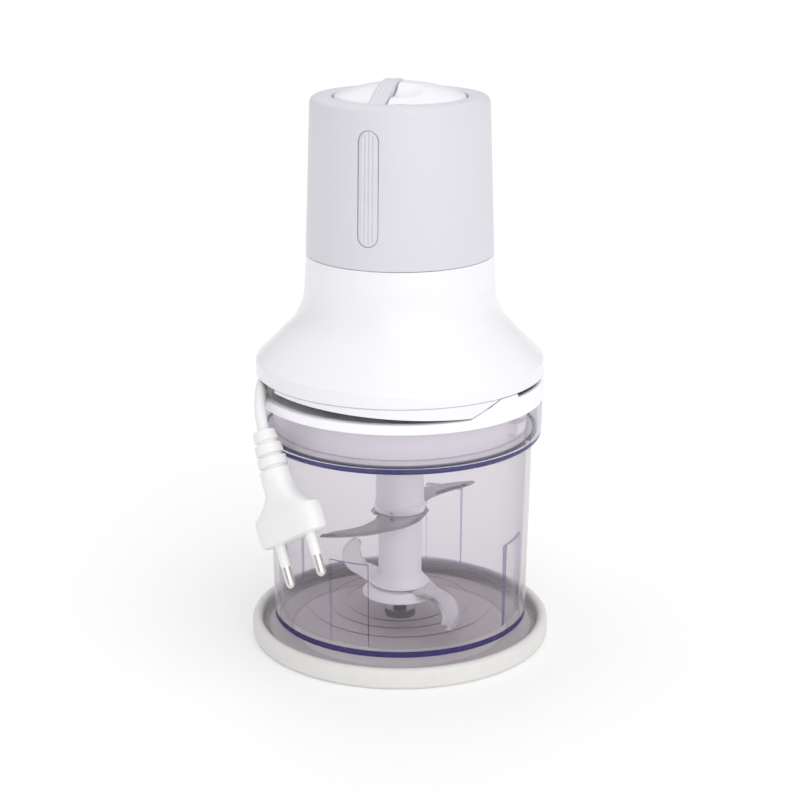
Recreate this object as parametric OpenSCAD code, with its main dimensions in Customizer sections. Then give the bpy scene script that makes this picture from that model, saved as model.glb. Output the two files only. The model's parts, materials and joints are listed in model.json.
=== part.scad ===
// Mini food processor: clear bowl with a two-storey blade, lid, and a press-top motor unit
// whose flared skirt hides the wound mains lead. Millimetres, +Z up, origin at the centre
// of the underside of the non-slip ring. Angles are about +Z; az() measures them from the front.

/* [Non-slip ring] */
// Height of the ring
ring_h = 9.2; // [8:0.1:14]
// Width of the lip outside the bowl's foot
ring_lip = 4.7; // [3:0.1:8]
// Thickness of the tray floor
tray_t = 3; // [2:0.1:4]

/* [Bowl] */
// Outer radius of the wall just under the collar
bowl_r = 59.3; // [47:0.1:72]
// How much smaller the wall is at the floor
bowl_taper = 1.8; // [0:0.1:4]
// Thickness of the clear plastic
bowl_t = 2.2; // [1.6:0.1:3.2]
// Height from the foot to the collar's ledge
bowl_h = 95.2; // [76:0.1:115]
// Height of the collar above the ledge
collar_h = 15.5; // [13:0.1:20]
// How far the collar stands out from the wall
collar_out = 4.2; // [3.6:0.1:6]
// Height of the foot under the floor
foot_h = 10.2; // [8:0.1:13]
// Height of the four wall pads above the floor
pad_h = 39; // [20:1:60]
// Radius of the steel spindle
spindle_r = 3; // [2:0.1:4]
// Radius of the boss that holds the spindle
boss_r = 7; // [6:0.1:8]

/* [Blade set] */
// Radius of the lower hub
hub_r = 9.9; // [9:0.1:12]
// Radius of the upper sleeve
sleeve_r = 10.9; // [10.3:0.1:13]
// Radius of the bell at the hub's foot
bell_r = 17.3; // [14:0.1:20]
// Height of the lower blade above the bowl floor
lower_blade_h = 9.6; // [8:0.1:16]
// Height of the upper blade above the bowl floor
upper_blade_h = 44.8; // [34:0.1:54]
// Thickness of both blades
blade_t = 1.2; // [0.8:0.1:2]
// Gap between the upper blade's tips and the bowl's wall at the floor
upper_gap = 5.3; // [3.3:0.1:19.3]
// Gap between the lower blade's tips and the bowl's wall at the floor
lower_gap = 7.3; // [3.3:0.1:19.3]

/* [Lid] */
// Thickness of the lid's rim
rim_t = 4.3; // [3:0.1:6]
// Thickness of the lid's walls
lid_t = 2; // [1.4:0.1:2.6]
// Depth of the skirt under the rim
skirt_depth = 13.3; // [10:0.1:16]
// Radius of the well that takes the motor unit
well_r = 37; // [35:0.1:40]
// Height of the locating tab above the rim
tab_h = 6.6; // [5:0.1:7]

/* [Motor unit] */
// Gap from the lid's rim to the seam of the flared housing
band_h = 7; // [7:0.1:9]
// Height of the flared housing
flare_h = 53; // [50:0.1:62]
// Radius at the top of the flared housing
neck_r = 41.2; // [38:0.1:48]
// Height of the cap to its shoulder
cap_h = 66; // [60:0.1:79]
// How much the cap narrows upwards
cap_taper = 2.5; // [0:0.1:5]
// Wall of the housing and cap
shell_t = 2.2; // [1.6:0.1:2.8]
// Radius of the round press pad
pad_r = 28.6; // [25:0.1:31]
// Rise of the press pad's dome
dome_h = 5.7; // [3:0.1:8]
// Width of the bar between the two buttons
bar_w = 6.7; // [5:0.1:9]
// Travel of each button
press = 2.5; // [1.5:0.1:3]

/* [Drive] */
// Gear module
gear_m = 0.9; // [0.75:0.05:0.95]
// Width of the gears
gear_w = 10; // [8:0.5:11]
// Radius of the motor shaft
shaft_r = 2.5; // [2:0.1:3]
// Width across the flats of the drive hexagon
drive_af = 9; // [8:0.1:10]
// Outer radius of the stator
stator_r = 27; // [24:0.5:29]
// Stack height of stator and rotor
stack_h = 28; // [20:1:32]

/* [Cord and plug] */
// Diameter of the mains lead
cord_d = 5; // [4.5:0.1:5.5]
// Room for the wound lead, from the spool to the outside of the housing
lead_room = 21; // [20:0.1:22]

/* [Fits] */
// Gap between pieces that rest on each other
seat = 0.05; // [0.02:0.01:0.1]
// Radial gap of a shaft in its bush
run = 0.05; // [0.03:0.01:0.1]
// Gap round pieces that drop into each other
loose = 0.4; // [0.3:0.05:0.6]

/* [Hidden] */
$fn = 96;
thru = 0.5; // how far a cutter runs past a face

// Heights, from the underside of the ring
foot_z = tray_t;
floor_z = foot_z + foot_h; // top of the bowl's floor
ledge_z = foot_z + bowl_h; // top of the collar's ledge
collar_z = ledge_z + collar_h;
rim_z = collar_z + rim_t;
seam_z = rim_z + band_h;
neck_z = seam_z + flare_h;
cap_z = neck_z + cap_h;
lower_z = floor_z + lower_blade_h;
upper_z = floor_z + upper_blade_h;
lid_in_z = collar_z - skirt_depth; // underside of the lid's skirt
well_z = lid_in_z + lid_t + 2; // floor of the lid's well
unit_z = well_z + seat; // underside of the motor unit
spool_z = rim_z + 1; // underside of the spool's flange
deck_z = seam_z + 9; // underside of the deck above the lead
case_z = unit_z + lid_t + seat; // underside of the gearbox
carrier_z = case_z + 3;
gear_z = carrier_z + 4;
plate_z = gear_z + gear_w + 3; // underside of the motor plate
fan_z = plate_z + 6;
stack_z = plate_z + 22;
comm_z = stack_z + stack_h + 8;
brush_z = comm_z + 14;
shelf_z = neck_z + 38;
frame_z = cap_z - 9; // top of the button frame's web

// Radii
collar_r = bowl_r + collar_out;
foot_r = collar_r - 0.7;
ring_in_r = foot_r + loose;
ring_r = ring_in_r + ring_lip;
skirt_r = bowl_r - bowl_t - loose; // lid's skirt
rim_r = collar_r + 0.4;
flare_r = rim_r + 0.1; // widest part of the flared housing
band_r = flare_r - 0.5;
spool_r = flare_r - lead_room;
floor_in_r = bowl_r - bowl_taper - bowl_t; // inside of the wall at the floor
upper_reach = floor_in_r - upper_gap;
lower_reach = floor_in_r - lower_gap;
seal_out = 2.6; // how far the seal stands out from the lid's skirt
band_in_r = band_r - 4.3;
cap_r = neck_r - cap_taper;
pocket_r = pad_r + 0.8; // opening round the buttons
sleeve_in_r = spindle_r + 2;
well_gap_r = well_r - loose;
post_r = 31; // posts under the switch shelf
boss_screw_r = spool_r + 6; // screws between the spool and the housing
stem_gap = 14; // from the middle of the two button stems to each
stem_shift = -3; // middle of the two stems, left of the axis like the bar
stem_r = 2.2;
collar_in_r = 4.6; // round collar under each button that holds its spring
collar_out_r = 6;
arc_r = 28.7; // inner curve of the flared housing
neck_taper = 0.7; // slight spread of the neck before the curve

// Angles from the front, positive to the right
pad_az = [-24, 67, 157, -113];
lug_az = [61, -119];
tab_az = [28, 84]; // stretch of the rim that carries the tab
tab_slope = 22; // rise of the tab's end
shelf_posts = [75:120:315];
inlay_az = -19.5;

// Gears: ring held, sun driven, three planets carried round
sun_n = 12;
planet_n = 18;
ring_n = sun_n + 2 * planet_n;
planet_c = gear_m * (sun_n + planet_n) / 2;
backlash = 0.12;
ring_pitch_r = gear_m * ring_n / 2;
case_screw_r = ring_pitch_r + 7.5; // screws between the gearbox and the motor plate
bush_t = 2.4; // wall of the shaft bushes
out_r = shaft_r + 2; // output shaft

// The lead's free stretch, from the wound coil to the strain relief
cord_route = [
    [-53.7, 10.2, 123.4], [-54.7, 8, 123.2],
    [-56.6, 3.5, 122.9], [-58.2, -1, 122.6], [-59.4, -6, 122.2], [-60.2, -11, 121.9],
    [-60.5, -15, 121.7], [-60.6, -19, 121.4], [-60.6, -23, 120.7], [-60.5, -27, 119.3],
    [-60.4, -30, 117.6], [-60.2, -32.5, 115.5], [-59.8, -34.8, 113], [-59.2, -36.6, 110.5],
    [-58.6, -38, 108]
];
relief_at = cord_route[len(cord_route) - 1];
plug_dir = [0.285, -0.443, -0.85];
relief_l = 22;
body_l = 27;
pin_l = 19;
plug_w = 35.3;
pin_gap = 18.6;
coil_z = spool_z + lid_t + 0.2;
coil_in_r = spool_r + 1.5;
coil_out_r = coil_in_r + 2 * cord_d + 1;
coil_h = 2 * cord_d;
exit_az = [-98, -58]; // stretch of the band that is cut away for the lead
gland_at = 30; // angle of the gland from +X
gland_r = 4;

// ---------- helpers ----------

// Turns its children to an angle from the front
module az(a) rotate([0, 0, a]) children();

// Points of an arc in the plane
function arc(cx, cy, r, a0, a1, n) =
    [for (i = [0:n]) [cx + r * cos(a0 + (a1 - a0) * i / n), cy + r * sin(a0 + (a1 - a0) * i / n)]];

// Ring of rectangular section
module tube(r_out, r_in, z0, z1)
    translate([0, 0, z0])
        difference() {
            cylinder(r = r_out, h = z1 - z0);
            translate([0, 0, -thru]) cylinder(r = r_in, h = z1 - z0 + 2 * thru);
        }

// Solid sector between two angles from the front
module sector(r, z0, z1, a0, a1)
    translate([0, 0, z0])
        linear_extrude(z1 - z0)
            polygon(concat([[0, 0]],
                [for (i = [0:8]) let (a = a0 + (a1 - a0) * i / 8) [r * sin(a), -r * cos(a)]]));

// Screw along +Z with its head on top
module screw(r, l, head_r, head_h) {
    cylinder(r = r, h = l, $fn = 24);
    translate([0, 0, l])
        difference() {
            cylinder(r = head_r, h = head_h, $fn = 24);
            translate([-head_r * 0.6, -0.3, head_h * 0.5]) cube([head_r * 1.2, 0.6, head_h]);
            translate([-0.3, -head_r * 0.6, head_h * 0.5]) cube([0.6, head_r * 1.2, head_h]);
        }
}

// Unit vector
function unit(v) = v / norm(v);
// A vector square to v
function square_to(v) = unit(cross(v, abs(v[2]) < 0.9 ? [0, 0, 1] : [1, 0, 0]));
// Direction of a route at point i
function heading(p, i) =
    unit(p[min(i + 1, len(p) - 1)] - p[max(i - 1, 0)]);
// Side vectors carried along a route without twisting
function carried(p, i) =
    i == 0 ? square_to(heading(p, 0)) : let (h = heading(p, i), u = carried(p, i - 1)) unit(u - h * (u * h));

// Round tube of radius r swept along the points p
module sweep(p, r, sides) {
    n = len(p);
    rings = [for (i = [0:n - 1])
        let (h = heading(p, i), u = carried(p, i), v = cross(h, u))
            for (k = [0:sides - 1]) p[i] + r * (cos(360 * k / sides) * u + sin(360 * k / sides) * v)];
    walls = [for (i = [0:n - 2]) for (k = [0:sides - 1])
        let (a = i * sides + k, b = i * sides + (k + 1) % sides) [a, b, b + sides, a + sides]];
    start = [[for (k = [0:sides - 1]) sides - 1 - k]];
    finish = [[for (k = [0:sides - 1]) (n - 1) * sides + k]];
    polyhedron(points = rings, faces = [for (f = concat(walls, start, finish)) [for (k = [len(f) - 1:-1:0]) f[k]]]);
}

// Puts its children at point p with their +Z along d and their +X square to it in plane with side s
module aim(p, d, s) {
    z = unit(d);
    x = unit(s - z * (s * z));
    y = cross(z, x);
    multmatrix([[x[0], y[0], z[0], p[0]], [x[1], y[1], z[1], p[1]], [x[2], y[2], z[2], p[2]]]) children();
}

// Involute flank: half-angle of a tooth at radius r, for base radius rb and half-angle h at pitch radius rp
function roll(r, rb) = r <= rb ? 0 : (sqrt(r * r / rb / rb - 1) * 180 / PI - acos(rb / r));
function tooth_half(r, rp, rb, h) = h + roll(rp, rb) - roll(r, rb);

// Outline of a gear with n teeth between root radius r0 and tip radius r1, thinned by slack
module gear_outline(n, r0, r1, slack) {
    rp = gear_m * n / 2;
    rb = rp * cos(20);
    h = 90 / n - slack / 2 / rp * 180 / PI;
    steps = 5;
    side = [for (i = [0:steps]) let (r = r0 + (r1 - r0) * i / steps) [r, tooth_half(r, rp, rb, h)]];
    polygon([for (k = [0:n - 1]) each concat(
        [for (i = [0:steps]) side[i][0] * [cos(360 * k / n - side[i][1]), sin(360 * k / n - side[i][1])]],
        [for (i = [steps:-1:0]) side[i][0] * [cos(360 * k / n + side[i][1]), sin(360 * k / n + side[i][1])]])]);
}

// Half-plane profile of the flared housing's outside, moved inwards by t, from the seam to the neck
function flare_line(t) =
    let (cx = neck_r + neck_taper + arc_r, rho = arc_r + t,
         shoulder_z = seam_z + 6 - 0.414 * t,
         line = flare_r + seam_z + 6 - t * sqrt(2), // sum of radius and height along the slope
         cz = line - cx + rho * sqrt(2))
    concat([[flare_r - t, seam_z], [flare_r - t, shoulder_z]],
        arc(cx, cz, rho, 225, 180, 10),
        [[neck_r - t, neck_z]]);

// ---------- ring and bowl ----------

module non_slip_ring()
    color("gainsboro")
        rotate_extrude()
            polygon(concat(
                [[0, 0], [ring_r - 1.6, 0], [ring_r, 1.6]],
                arc(ring_r - ring_lip / 2, ring_h - ring_lip / 2, ring_lip / 2, 0, 180, 10),
                [[ring_in_r, tray_t], [0, tray_t]]));

// Radius of the outside of the bowl's wall at height z
function wall_r(z) = bowl_r - bowl_taper * (ledge_z - z) / (ledge_z - floor_z);

module bowl_shell()
    rotate_extrude()
        polygon([
            [0, floor_z - bowl_t], [wall_r(floor_z) - bowl_t, floor_z - bowl_t],
            [wall_r(floor_z) - bowl_t, foot_z + 2.6], [foot_r - bowl_t, foot_z + 2.6],
            [foot_r - bowl_t, foot_z], [foot_r, foot_z],
            [foot_r, foot_z + 4], [foot_r - 1, foot_z + 5],
            [wall_r(floor_z) + 0.6, foot_z + 5], [wall_r(floor_z), foot_z + 5.6],
            [wall_r(ledge_z - bowl_t), ledge_z - bowl_t],
            [collar_r - 1.3, ledge_z - bowl_t], [collar_r - 0.4, ledge_z - bowl_t + 0.9],
            [collar_r, ledge_z + 4], [collar_r, collar_z],
            [collar_r - lid_t, collar_z], [collar_r - lid_t, ledge_z],
            [bowl_r - bowl_t, ledge_z], [wall_r(floor_z) - bowl_t, floor_z + 1],
            [wall_r(floor_z) - bowl_t - 1, floor_z], [0, floor_z]]);

module bowl()
    color([0.75, 0.73, 0.82, 0.4])
        difference() {
            union() {
                bowl_shell();
                for (a = pad_az)
                    az(a)
                        intersection() {
                            tube(wall_r(floor_z) - bowl_t + 0.8, wall_r(floor_z) - bowl_t - 1.4,
                                floor_z - 1, floor_z + pad_h);
                            translate([-9, -collar_r, 0]) cube([18, collar_r, collar_z]);
                        }
                for (r = [24, 32, 42])
                    tube(r + 0.8, r, floor_z - 1, floor_z + 0.7);
                translate([0, 0, floor_z - 1]) cylinder(r = boss_r, h = lower_blade_h - 1);
                translate([0, 0, floor_z - 6]) cylinder(r = boss_r, h = 6);
                az(67)
                    translate([-1, -(collar_r - lid_t + 0.3), ledge_z - 0.5])
                        cube([2, collar_r - lid_t - skirt_r - seal_out + 0.2, collar_h - 3]);
            }
            translate([0, 0, floor_z - 4]) cylinder(r = spindle_r, h = collar_z, $fn = 48);
        }

module bowl_spindle()
    color("silver")
        rotate_extrude($fn = 48)
            polygon([[0, floor_z - 4], [spindle_r, floor_z - 4], [spindle_r, upper_z + 6],
                [spindle_r - 1.2, upper_z + 7.5], [0, upper_z + 7.5]]);

// ---------- blade set ----------

// Bottom of the bell, under the lower blade
module blade_foot()
    color("white")
        difference() {
            rotate_extrude()
                polygon([[boss_r + 1, lower_z - 4.6], [bell_r, lower_z - 4.6], [bell_r, lower_z - 3.8],
                    [bell_r - 2, lower_z - 1.8], [bell_r - 2.9, lower_z - blade_t / 2],
                    [boss_r + 1, lower_z - blade_t / 2]]);
            for (a = [45:90:315]) rotate([0, 0, a])
                translate([11.5, 0, lower_z - 6]) cylinder(r = 1, h = 3, $fn = 24);
        }

// A blade: children are the flat outline of one arm, doubled by half a turn about a round middle
module two_arms(z, middle_r)
    translate([0, 0, z - blade_t / 2])
        linear_extrude(blade_t)
            difference() {
                union() {
                    children();
                    rotate(180) children();
                    circle(r = middle_r, $fn = 48);
                }
                circle(r = sleeve_in_r + run, $fn = 48);
            }

// Upper blade: an S of two tapering arms
module upper_blade()
    color("silver")
        two_arms(upper_z, hub_r - 0.6)
            scale(upper_reach / 50)
                polygon(concat([[0, 9], [12, 5], [13.8, -1.3]],
                    arc(-19, 1, 31.4, -19, -62, 6),
                    [[-12, -31.4], [-21.4, -34], [-30.7, -34.7], [-36.8, -33.9]],
                    [[-30.9, -28.4], [-25.3, -26.2], [-19.2, -22.8], [-14.6, -17.4], [-11.3, -11.2], [-9, 0]]));

// Lower blade: two sickles
module lower_blade()
    color("silver")
        two_arms(lower_z, bell_r - 4.6)
            scale(lower_reach / 48)
                polygon(concat([[0, 9], [9, 6], [16.5, -4]],
                    arc(3.5, -27, 24.2, 50, -33, 9),
                    [[20.6, -43.4], [18.4, -39], [19.5, -33], [18.4, -27], [15.6, -21.6], [11.5, -17.5], [5, -12.5], [-4, -10]]));

// Main column between the two blades, with the top of the bell
module blade_hub()
    color("white")
        rotate_extrude()
            polygon(concat(
                [[sleeve_in_r, lower_z + blade_t / 2]],
                [[bell_r - 3.4, lower_z + blade_t / 2]],
                arc(hub_r + 4, lower_z + 5, 4, 250, 180, 6),
                [[hub_r, upper_z - 4], [hub_r, upper_z - blade_t / 2], [sleeve_in_r, upper_z - blade_t / 2]]));

// Upper column, which reaches through the lid to the drive
module blade_sleeve()
    color("white")
        difference() {
            rotate_extrude()
                polygon([[sleeve_in_r, upper_z + blade_t / 2], [sleeve_r + 0.6, upper_z + blade_t / 2],
                    [sleeve_r + 0.6, upper_z + 4], [sleeve_r, upper_z + 4.6],
                    [sleeve_r, well_z - 2], [sleeve_r - 1, well_z - 1],
                    [sleeve_r - 2.4, well_z - 1], [sleeve_r - 2.4, well_z - 18],
                    [sleeve_in_r, well_z - 18]]);
            for (s = [0, 1]) rotate([0, 0, 200 + 180 * s])
                translate([0, -sleeve_r - 1, upper_z + 2]) rotate([-90, 0, 0]) cylinder(r = 0.9, h = 2.2, $fn = 24);
        }

// Plain bush that turns on the spindle and keys both halves of the column
module hub_bush()
    color("dimgray")
        difference() {
            translate([0, 0, lower_z - blade_t / 2]) cylinder(r = sleeve_in_r, h = upper_z + 7 - lower_z, $fn = 48);
            translate([0, 0, 0]) cylinder(r = spindle_r + run, h = collar_z, $fn = 48);
        }

// Corner radius of a hexagon from its width across the flats
function hex_r(af) = af / 2 / cos(30);

// Hexagonal socket in the top of the sleeve
module drive_socket()
    color("goldenrod")
        difference() {
            translate([0, 0, well_z - 18]) cylinder(r = sleeve_r - 2.4, h = 16.6);
            translate([0, 0, well_z - 16]) cylinder(r = hex_r(drive_af), h = 20, $fn = 6);
        }

// ---------- lid ----------

module lid_shell()
    rotate_extrude()
        polygon([
            [sleeve_r + 1, lid_in_z + 1], [well_r + lid_t, lid_in_z + 1],
            [well_r + lid_t, collar_z + seat], [skirt_r - lid_t, collar_z + seat],
            [skirt_r - lid_t, lid_in_z], [skirt_r, lid_in_z],
            [skirt_r, collar_z + seat], [rim_r, collar_z + seat],
            [rim_r, rim_z - 0.9], [rim_r - 0.9, rim_z],
            [rim_r - 3.6, rim_z], [rim_r - 6, rim_z - 2.1],
            [well_r + 1.6, rim_z - 2.1], [well_r, rim_z - 3.7],
            [well_r, well_z], [sleeve_r + 3.4, well_z], [sleeve_r + 3.4, lid_in_z + 3],
            [sleeve_r + 1, lid_in_z + 3]]);

module bowl_lid()
    color("white")
        union() {
            lid_shell();
            // locating tab that stands in the gap of the motor unit's band
            difference() {
                intersection() {
                    tube(rim_r, rim_r - 2.1, rim_z - 1, rim_z + tab_h);
                    sector(rim_r + 2, rim_z - 1, rim_z + tab_h, tab_az[0], tab_az[1]);
                }
                sector(rim_r + 2, rim_z + tab_h - 1.7, rim_z + tab_h + 1, tab_az[0] + 24, tab_az[1] - 8);
                tab_ramp(0) translate([0, 40, 15]) cube([130, 120, 30], center = true);
            }
            // bayonet lugs on the skirt
            for (a = lug_az)
                difference() {
                    intersection() {
                        tube(collar_r - lid_t - loose, skirt_r - 0.5, lid_in_z + 4, lid_in_z + 9);
                        sector(collar_r, lid_in_z + 3, lid_in_z + 10, a - 5, a + 4);
                    }
                    az(a + 4)
                        translate([-1, -collar_r, lid_in_z + 3.4]) rotate([0, 60, 0]) mirror([1, 0, 0]) cube([8, 9, 18]);
                }
        }

// Frame on the slope that the tab rises by, lifted by g: its children's underside lies on the slope
module tab_ramp(g)
    az(tab_az[0])
        translate([0, -rim_r, rim_z + 0.2 + g]) rotate([0, -tab_slope, 0]) children();

// Rubber ring that sits on the bowl's ledge
module lid_seal()
    color("whitesmoke")
        rotate_extrude()
            polygon([[skirt_r - 1.4, ledge_z + seat], [skirt_r + seal_out - 0.6, ledge_z + seat], [skirt_r + seal_out, ledge_z + 0.9],
                [skirt_r + seal_out - 1, lid_in_z], [skirt_r - 1.4, lid_in_z]]);

// ---------- motor unit: shells ----------

module flare_solid()
    rotate_extrude() polygon(concat([[0, seam_z]], flare_line(0), [[0, neck_z]]));

module flared_housing()
    color("white")
        difference() {
            union() {
                rotate_extrude() polygon(concat(flare_line(0), [[neck_r - shell_t, neck_z]],
                    [for (i = [len(flare_line(shell_t)) - 1:-1:0]) flare_line(shell_t)[i]]));
                tube(neck_r - shell_t, neck_r - shell_t - 1.4, neck_z - 6, neck_z + 4);
                for (a = [60:120:300])
                    intersection() {
                        rotate([0, 0, a]) translate([boss_screw_r, 0, deck_z + lid_t + seat]) cylinder(r = 3.4, h = 16, $fn = 32);
                        flare_solid();
                    }
            }
            for (a = [60:120:300])
                rotate([0, 0, a]) translate([boss_screw_r, 0, deck_z]) cylinder(r = 1.25, h = 9, $fn = 24);
        }

// Lower band under the seam, cut off at a slant, with a gap for the lid's tab and one for the lead
module skirt_band()
    color("white")
        difference() {
            union() {
                tube(band_r, band_in_r, rim_z + loose, seam_z);
                tube(flare_r - shell_t - 0.3, band_in_r, seam_z - 1, seam_z + 4);
            }
            multmatrix([[1, 0, 0, 0], [0, 1, 0, 0], [-0.055, 0, 1, 0]])
                translate([-80, -80, seam_z - 54.6]) cube([160, 160, 50]);
            intersection() {
                sector(band_r + 9, rim_z - 1, seam_z, tab_az[0] - 2, tab_az[1] + 3);
                tab_ramp(loose) translate([0, 40, -15]) cube([130, 120, 30], center = true);
            }
            sector(band_r + 9, rim_z - 1, seam_z + 0.4, exit_az[0], exit_az[1]);
        }

// Bottom cover with the spool that the lead is wound on
module cord_spool()
    color("whitesmoke")
        difference() {
            rotate_extrude()
                polygon([
                    [0, unit_z], [well_gap_r, unit_z], [well_gap_r, spool_z], [spool_r + 9, spool_z],
                    [spool_r + 9, spool_z + lid_t], [spool_r, spool_z + lid_t], [spool_r, deck_z],
                    [flare_r - 8.7, deck_z], [flare_r - 10.2, deck_z + lid_t], [spool_r - lid_t, deck_z + lid_t],
                    [spool_r - lid_t, spool_z + lid_t], [well_gap_r - lid_t, spool_z + lid_t],
                    [well_gap_r - lid_t, unit_z + lid_t], [0, unit_z + lid_t]]);
            translate([0, 0, unit_z - thru]) cylinder(r = shaft_r + 5.5, h = 4);
            for (a = [60:120:300])
                rotate([0, 0, a]) translate([boss_screw_r, 0, deck_z - thru]) cylinder(r = 1.7, h = 4, $fn = 24);
            for (a = [15:60:315])
                rotate([0, 0, a]) translate([spool_r + 3, -5, spool_z - thru]) cube([12, 10, lid_t + 2 * thru]);
            gland_place() translate([0, 0, -9]) cylinder(r = gland_r, h = 18, $fn = 48);
        }

// Half-plane profile of the cap's outside, moved inwards by t
function cap_line(t) =
    concat([[neck_r - t, neck_z], [cap_r - t, cap_z - 1.5]],
        arc(cap_r - 3, cap_z - 0.7, max(3 - t, 0.4), 8, 86, 6));

module upper_cap()
    color("lightgray")
        difference() {
            union() {
                rotate_extrude() polygon(concat(cap_line(0), [[pocket_r, cap_z + 2.3], [pocket_r, cap_z - 3]],
                    [[cap_r - shell_t, cap_z - 3], [neck_r - shell_t, neck_z]]));
                intersection() {
                    bar_solid(bar_w / 2);
                    dome_solid(0.9, cap_z - 3);
                }
                // posts under the switch shelf
                for (a = shelf_posts)
                    rotate([0, 0, a]) {
                        translate([post_r, 0, shelf_z - 9]) cylinder(r = 3.2, h = 9 - seat, $fn = 32);
                        translate([post_r, -1, shelf_z - 9]) cube([cap_r - shell_t - post_r + 0.8, 2, 9 - seat]);
                    }
            }
            for (a = shelf_posts)
                rotate([0, 0, a]) translate([post_r, 0, shelf_z - 8]) cylinder(r = 1.3, h = 9, $fn = 24);
            inlay_place(0.15) cube([20, 20, 60], center = true);
            tube(neck_r - shell_t + seat, 10, neck_z - 1, neck_z + 4.2);
        }

// Centre line of the bar: a shallow S over the pad
function bar_x(y) = -4.2 + 0.148 * y + 0.000057 * y * y * y;
bar_ys = [for (i = [0:12]) -pocket_r - 1 + i * (2 * pocket_r + 2) / 12];

// Upright solid along the bar, w to each side of its centre line
module bar_solid(w)
    translate([0, 0, frame_z - 4])
        linear_extrude(30)
            polygon(concat([for (y = bar_ys) [bar_x(y) - w, y]],
                [for (i = [12:-1:0]) [bar_x(bar_ys[i]) + w, bar_ys[i]]]));

// Everything to one side of the bar
module side_solid(s)
    translate([0, 0, frame_z - 8])
        linear_extrude(40)
            polygon(concat([for (y = bar_ys) [bar_x(y) + s * (bar_w / 2 + loose), y]],
                [[s * 60, pocket_r + 1], [s * 60, -pocket_r - 1]]));

dome_rho = (pad_r * pad_r + dome_h * dome_h) / 2 / dome_h;

// Domed pad, raised by up, down to z0
module dome_solid(up, z0)
    intersection() {
        translate([0, 0, cap_z + 2.3 + dome_h - dome_rho + up]) sphere(r = dome_rho, $fn = 128);
        translate([0, 0, z0]) cylinder(r = pocket_r + 0.3, h = 40);
    }

// Stands its children on the inlay's place; the stadium outline grows by g
module inlay_place(g)
    intersection() {
        az(inlay_az)
            translate([0, -neck_r, neck_z + 34.3])
                rotate([90, 0, 0])
                    translate([0, 0, -6])
                        linear_extrude(12)
                            union() {
                                square([9.1 + 2 * g, 39.4], center = true);
                                for (s = [-1, 1]) translate([0, s * 19.7]) circle(r = 4.55 + g, $fn = 48);
                            }
        rotate_extrude()
            polygon([[neck_r - 0.8 - g, neck_z], [neck_r + 2, neck_z], [neck_r + 2, cap_z], [cap_r - 0.8 - g, cap_z]]);
    }

// Soft grip strip let into the cap, with fine ribs
module grip_inlay()
    color("silver")
        difference() {
            intersection() {
                inlay_place(0);
                rotate_extrude()
                    polygon([[0, neck_z], [neck_r + 0.3, neck_z], [cap_r + 0.3, cap_z], [0, cap_z]]);
            }
            for (k = [-2:2])
                az(inlay_az)
                    translate([k * 1.3 - 0.25, -neck_r - 1, neck_z + 15])
                        rotate([-atan(cap_taper / cap_h), 0, 0]) cube([0.5, 1.15, 38]);
        }

// ---------- buttons ----------

// Place of a button's stem: s is -1 for the left button and 1 for the right
function stem_x(s) = s * stem_gap + stem_shift;

module press_button(s)
    color("white")
        difference() {
            intersection() {
                union() {
                    difference() {
                        intersection() {
                            dome_solid(0, cap_z - 4);
                            translate([0, 0, cap_z - 4]) cylinder(r = pad_r, h = 30);
                        }
                        translate([0, 0, cap_z - 5]) cylinder(r = pad_r - 2, h = 5.6);
                    }
                }
                side_solid(s);
            }
            // thumb dish
            translate([0, -19, cap_z + 36]) sphere(r = 32, $fn = 96);
        }

module button_stem(s)
    translate([stem_x(s), 0, 0]) {
        translate([0, 0, shelf_z + 9.6 + press]) cylinder(r = stem_r, h = cap_z - shelf_z - 7, $fn = 32);
        tube(collar_out_r, collar_in_r, cap_z - 6, cap_z + 1);
    }

module press_button_1() { color("white") union() { press_button(-1); button_stem(-1); } }
module press_button_2() { color("white") union() { press_button(1); button_stem(1); } }

// Frame under the buttons: guides, spring seats and the web under the bar
module button_frame()
    color("gray")
        difference() {
            union() {
                tube(cap_r - shell_t - 1, pocket_r, frame_z - 3, cap_z - 3 - seat);
                translate([0, 0, frame_z - 3]) cylinder(r = pocket_r + 0.5, h = 2);
                intersection() {
                    bar_solid(bar_w / 2);
                    translate([0, 0, frame_z - 2]) cylinder(r = pocket_r + 0.5, h = cap_z - frame_z - 1 - seat);
                }
            }
            for (s = [-1, 1])
                translate([stem_x(s), 0, frame_z - 4]) cylinder(r = stem_r + loose, h = 4, $fn = 32);
            for (s = [-1, 1])
                translate([0, 0, frame_z - 1]) tube_cut(s);
        }

// Clearance for a button stem's collar beside the bar
module tube_cut(s)
    translate([stem_x(s), 0, 0]) cylinder(r = collar_out_r + 0.6, h = 20);

spring_r = 3.6;
spring_turns = 4;
spring_n = 40; // points along a spring

module button_spring(s)
    color("silver")
        translate([stem_x(s), 0, frame_z - 1])
            sweep([for (i = [0:spring_n]) let (a = 360 * spring_turns * i / spring_n)
                [spring_r * cos(a), spring_r * sin(a), 0.5 + (cap_z - frame_z + 0.1) * i / spring_n]],
                0.4, 6);

module button_spring_1() button_spring(-1);
module button_spring_2() button_spring(1);

// ---------- lead and plug ----------

// Place of the gland: slanting out through the spool's wall along the winding
module gland_place()
    aim([spool_r * cos(gland_at), spool_r * sin(gland_at), coil_z + cord_d / 2],
        [cos(gland_at + 62), sin(gland_at + 62), 0], [0, 0, 1]) children();

module cord_gland()
    color("white")
        difference() {
            intersection() {
                gland_place() translate([0, 0, -8]) cylinder(r = gland_r, h = 16, $fn = 48);
                tube(spool_r + 1, spool_r - lid_t - 3, spool_z + lid_t + 0.05, deck_z);
            }
            gland_place() translate([0, 0, -9]) cylinder(r = cord_d / 2, h = 18, $fn = 48);
        }

module cord_coil()
    color("white") tube(coil_out_r, coil_in_r, coil_z, coil_z + coil_h);

module cord_tail()
    color("white") sweep(concat(cord_route, [relief_at + unit(plug_dir) * 0.5]), cord_d / 2, 10);

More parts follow.
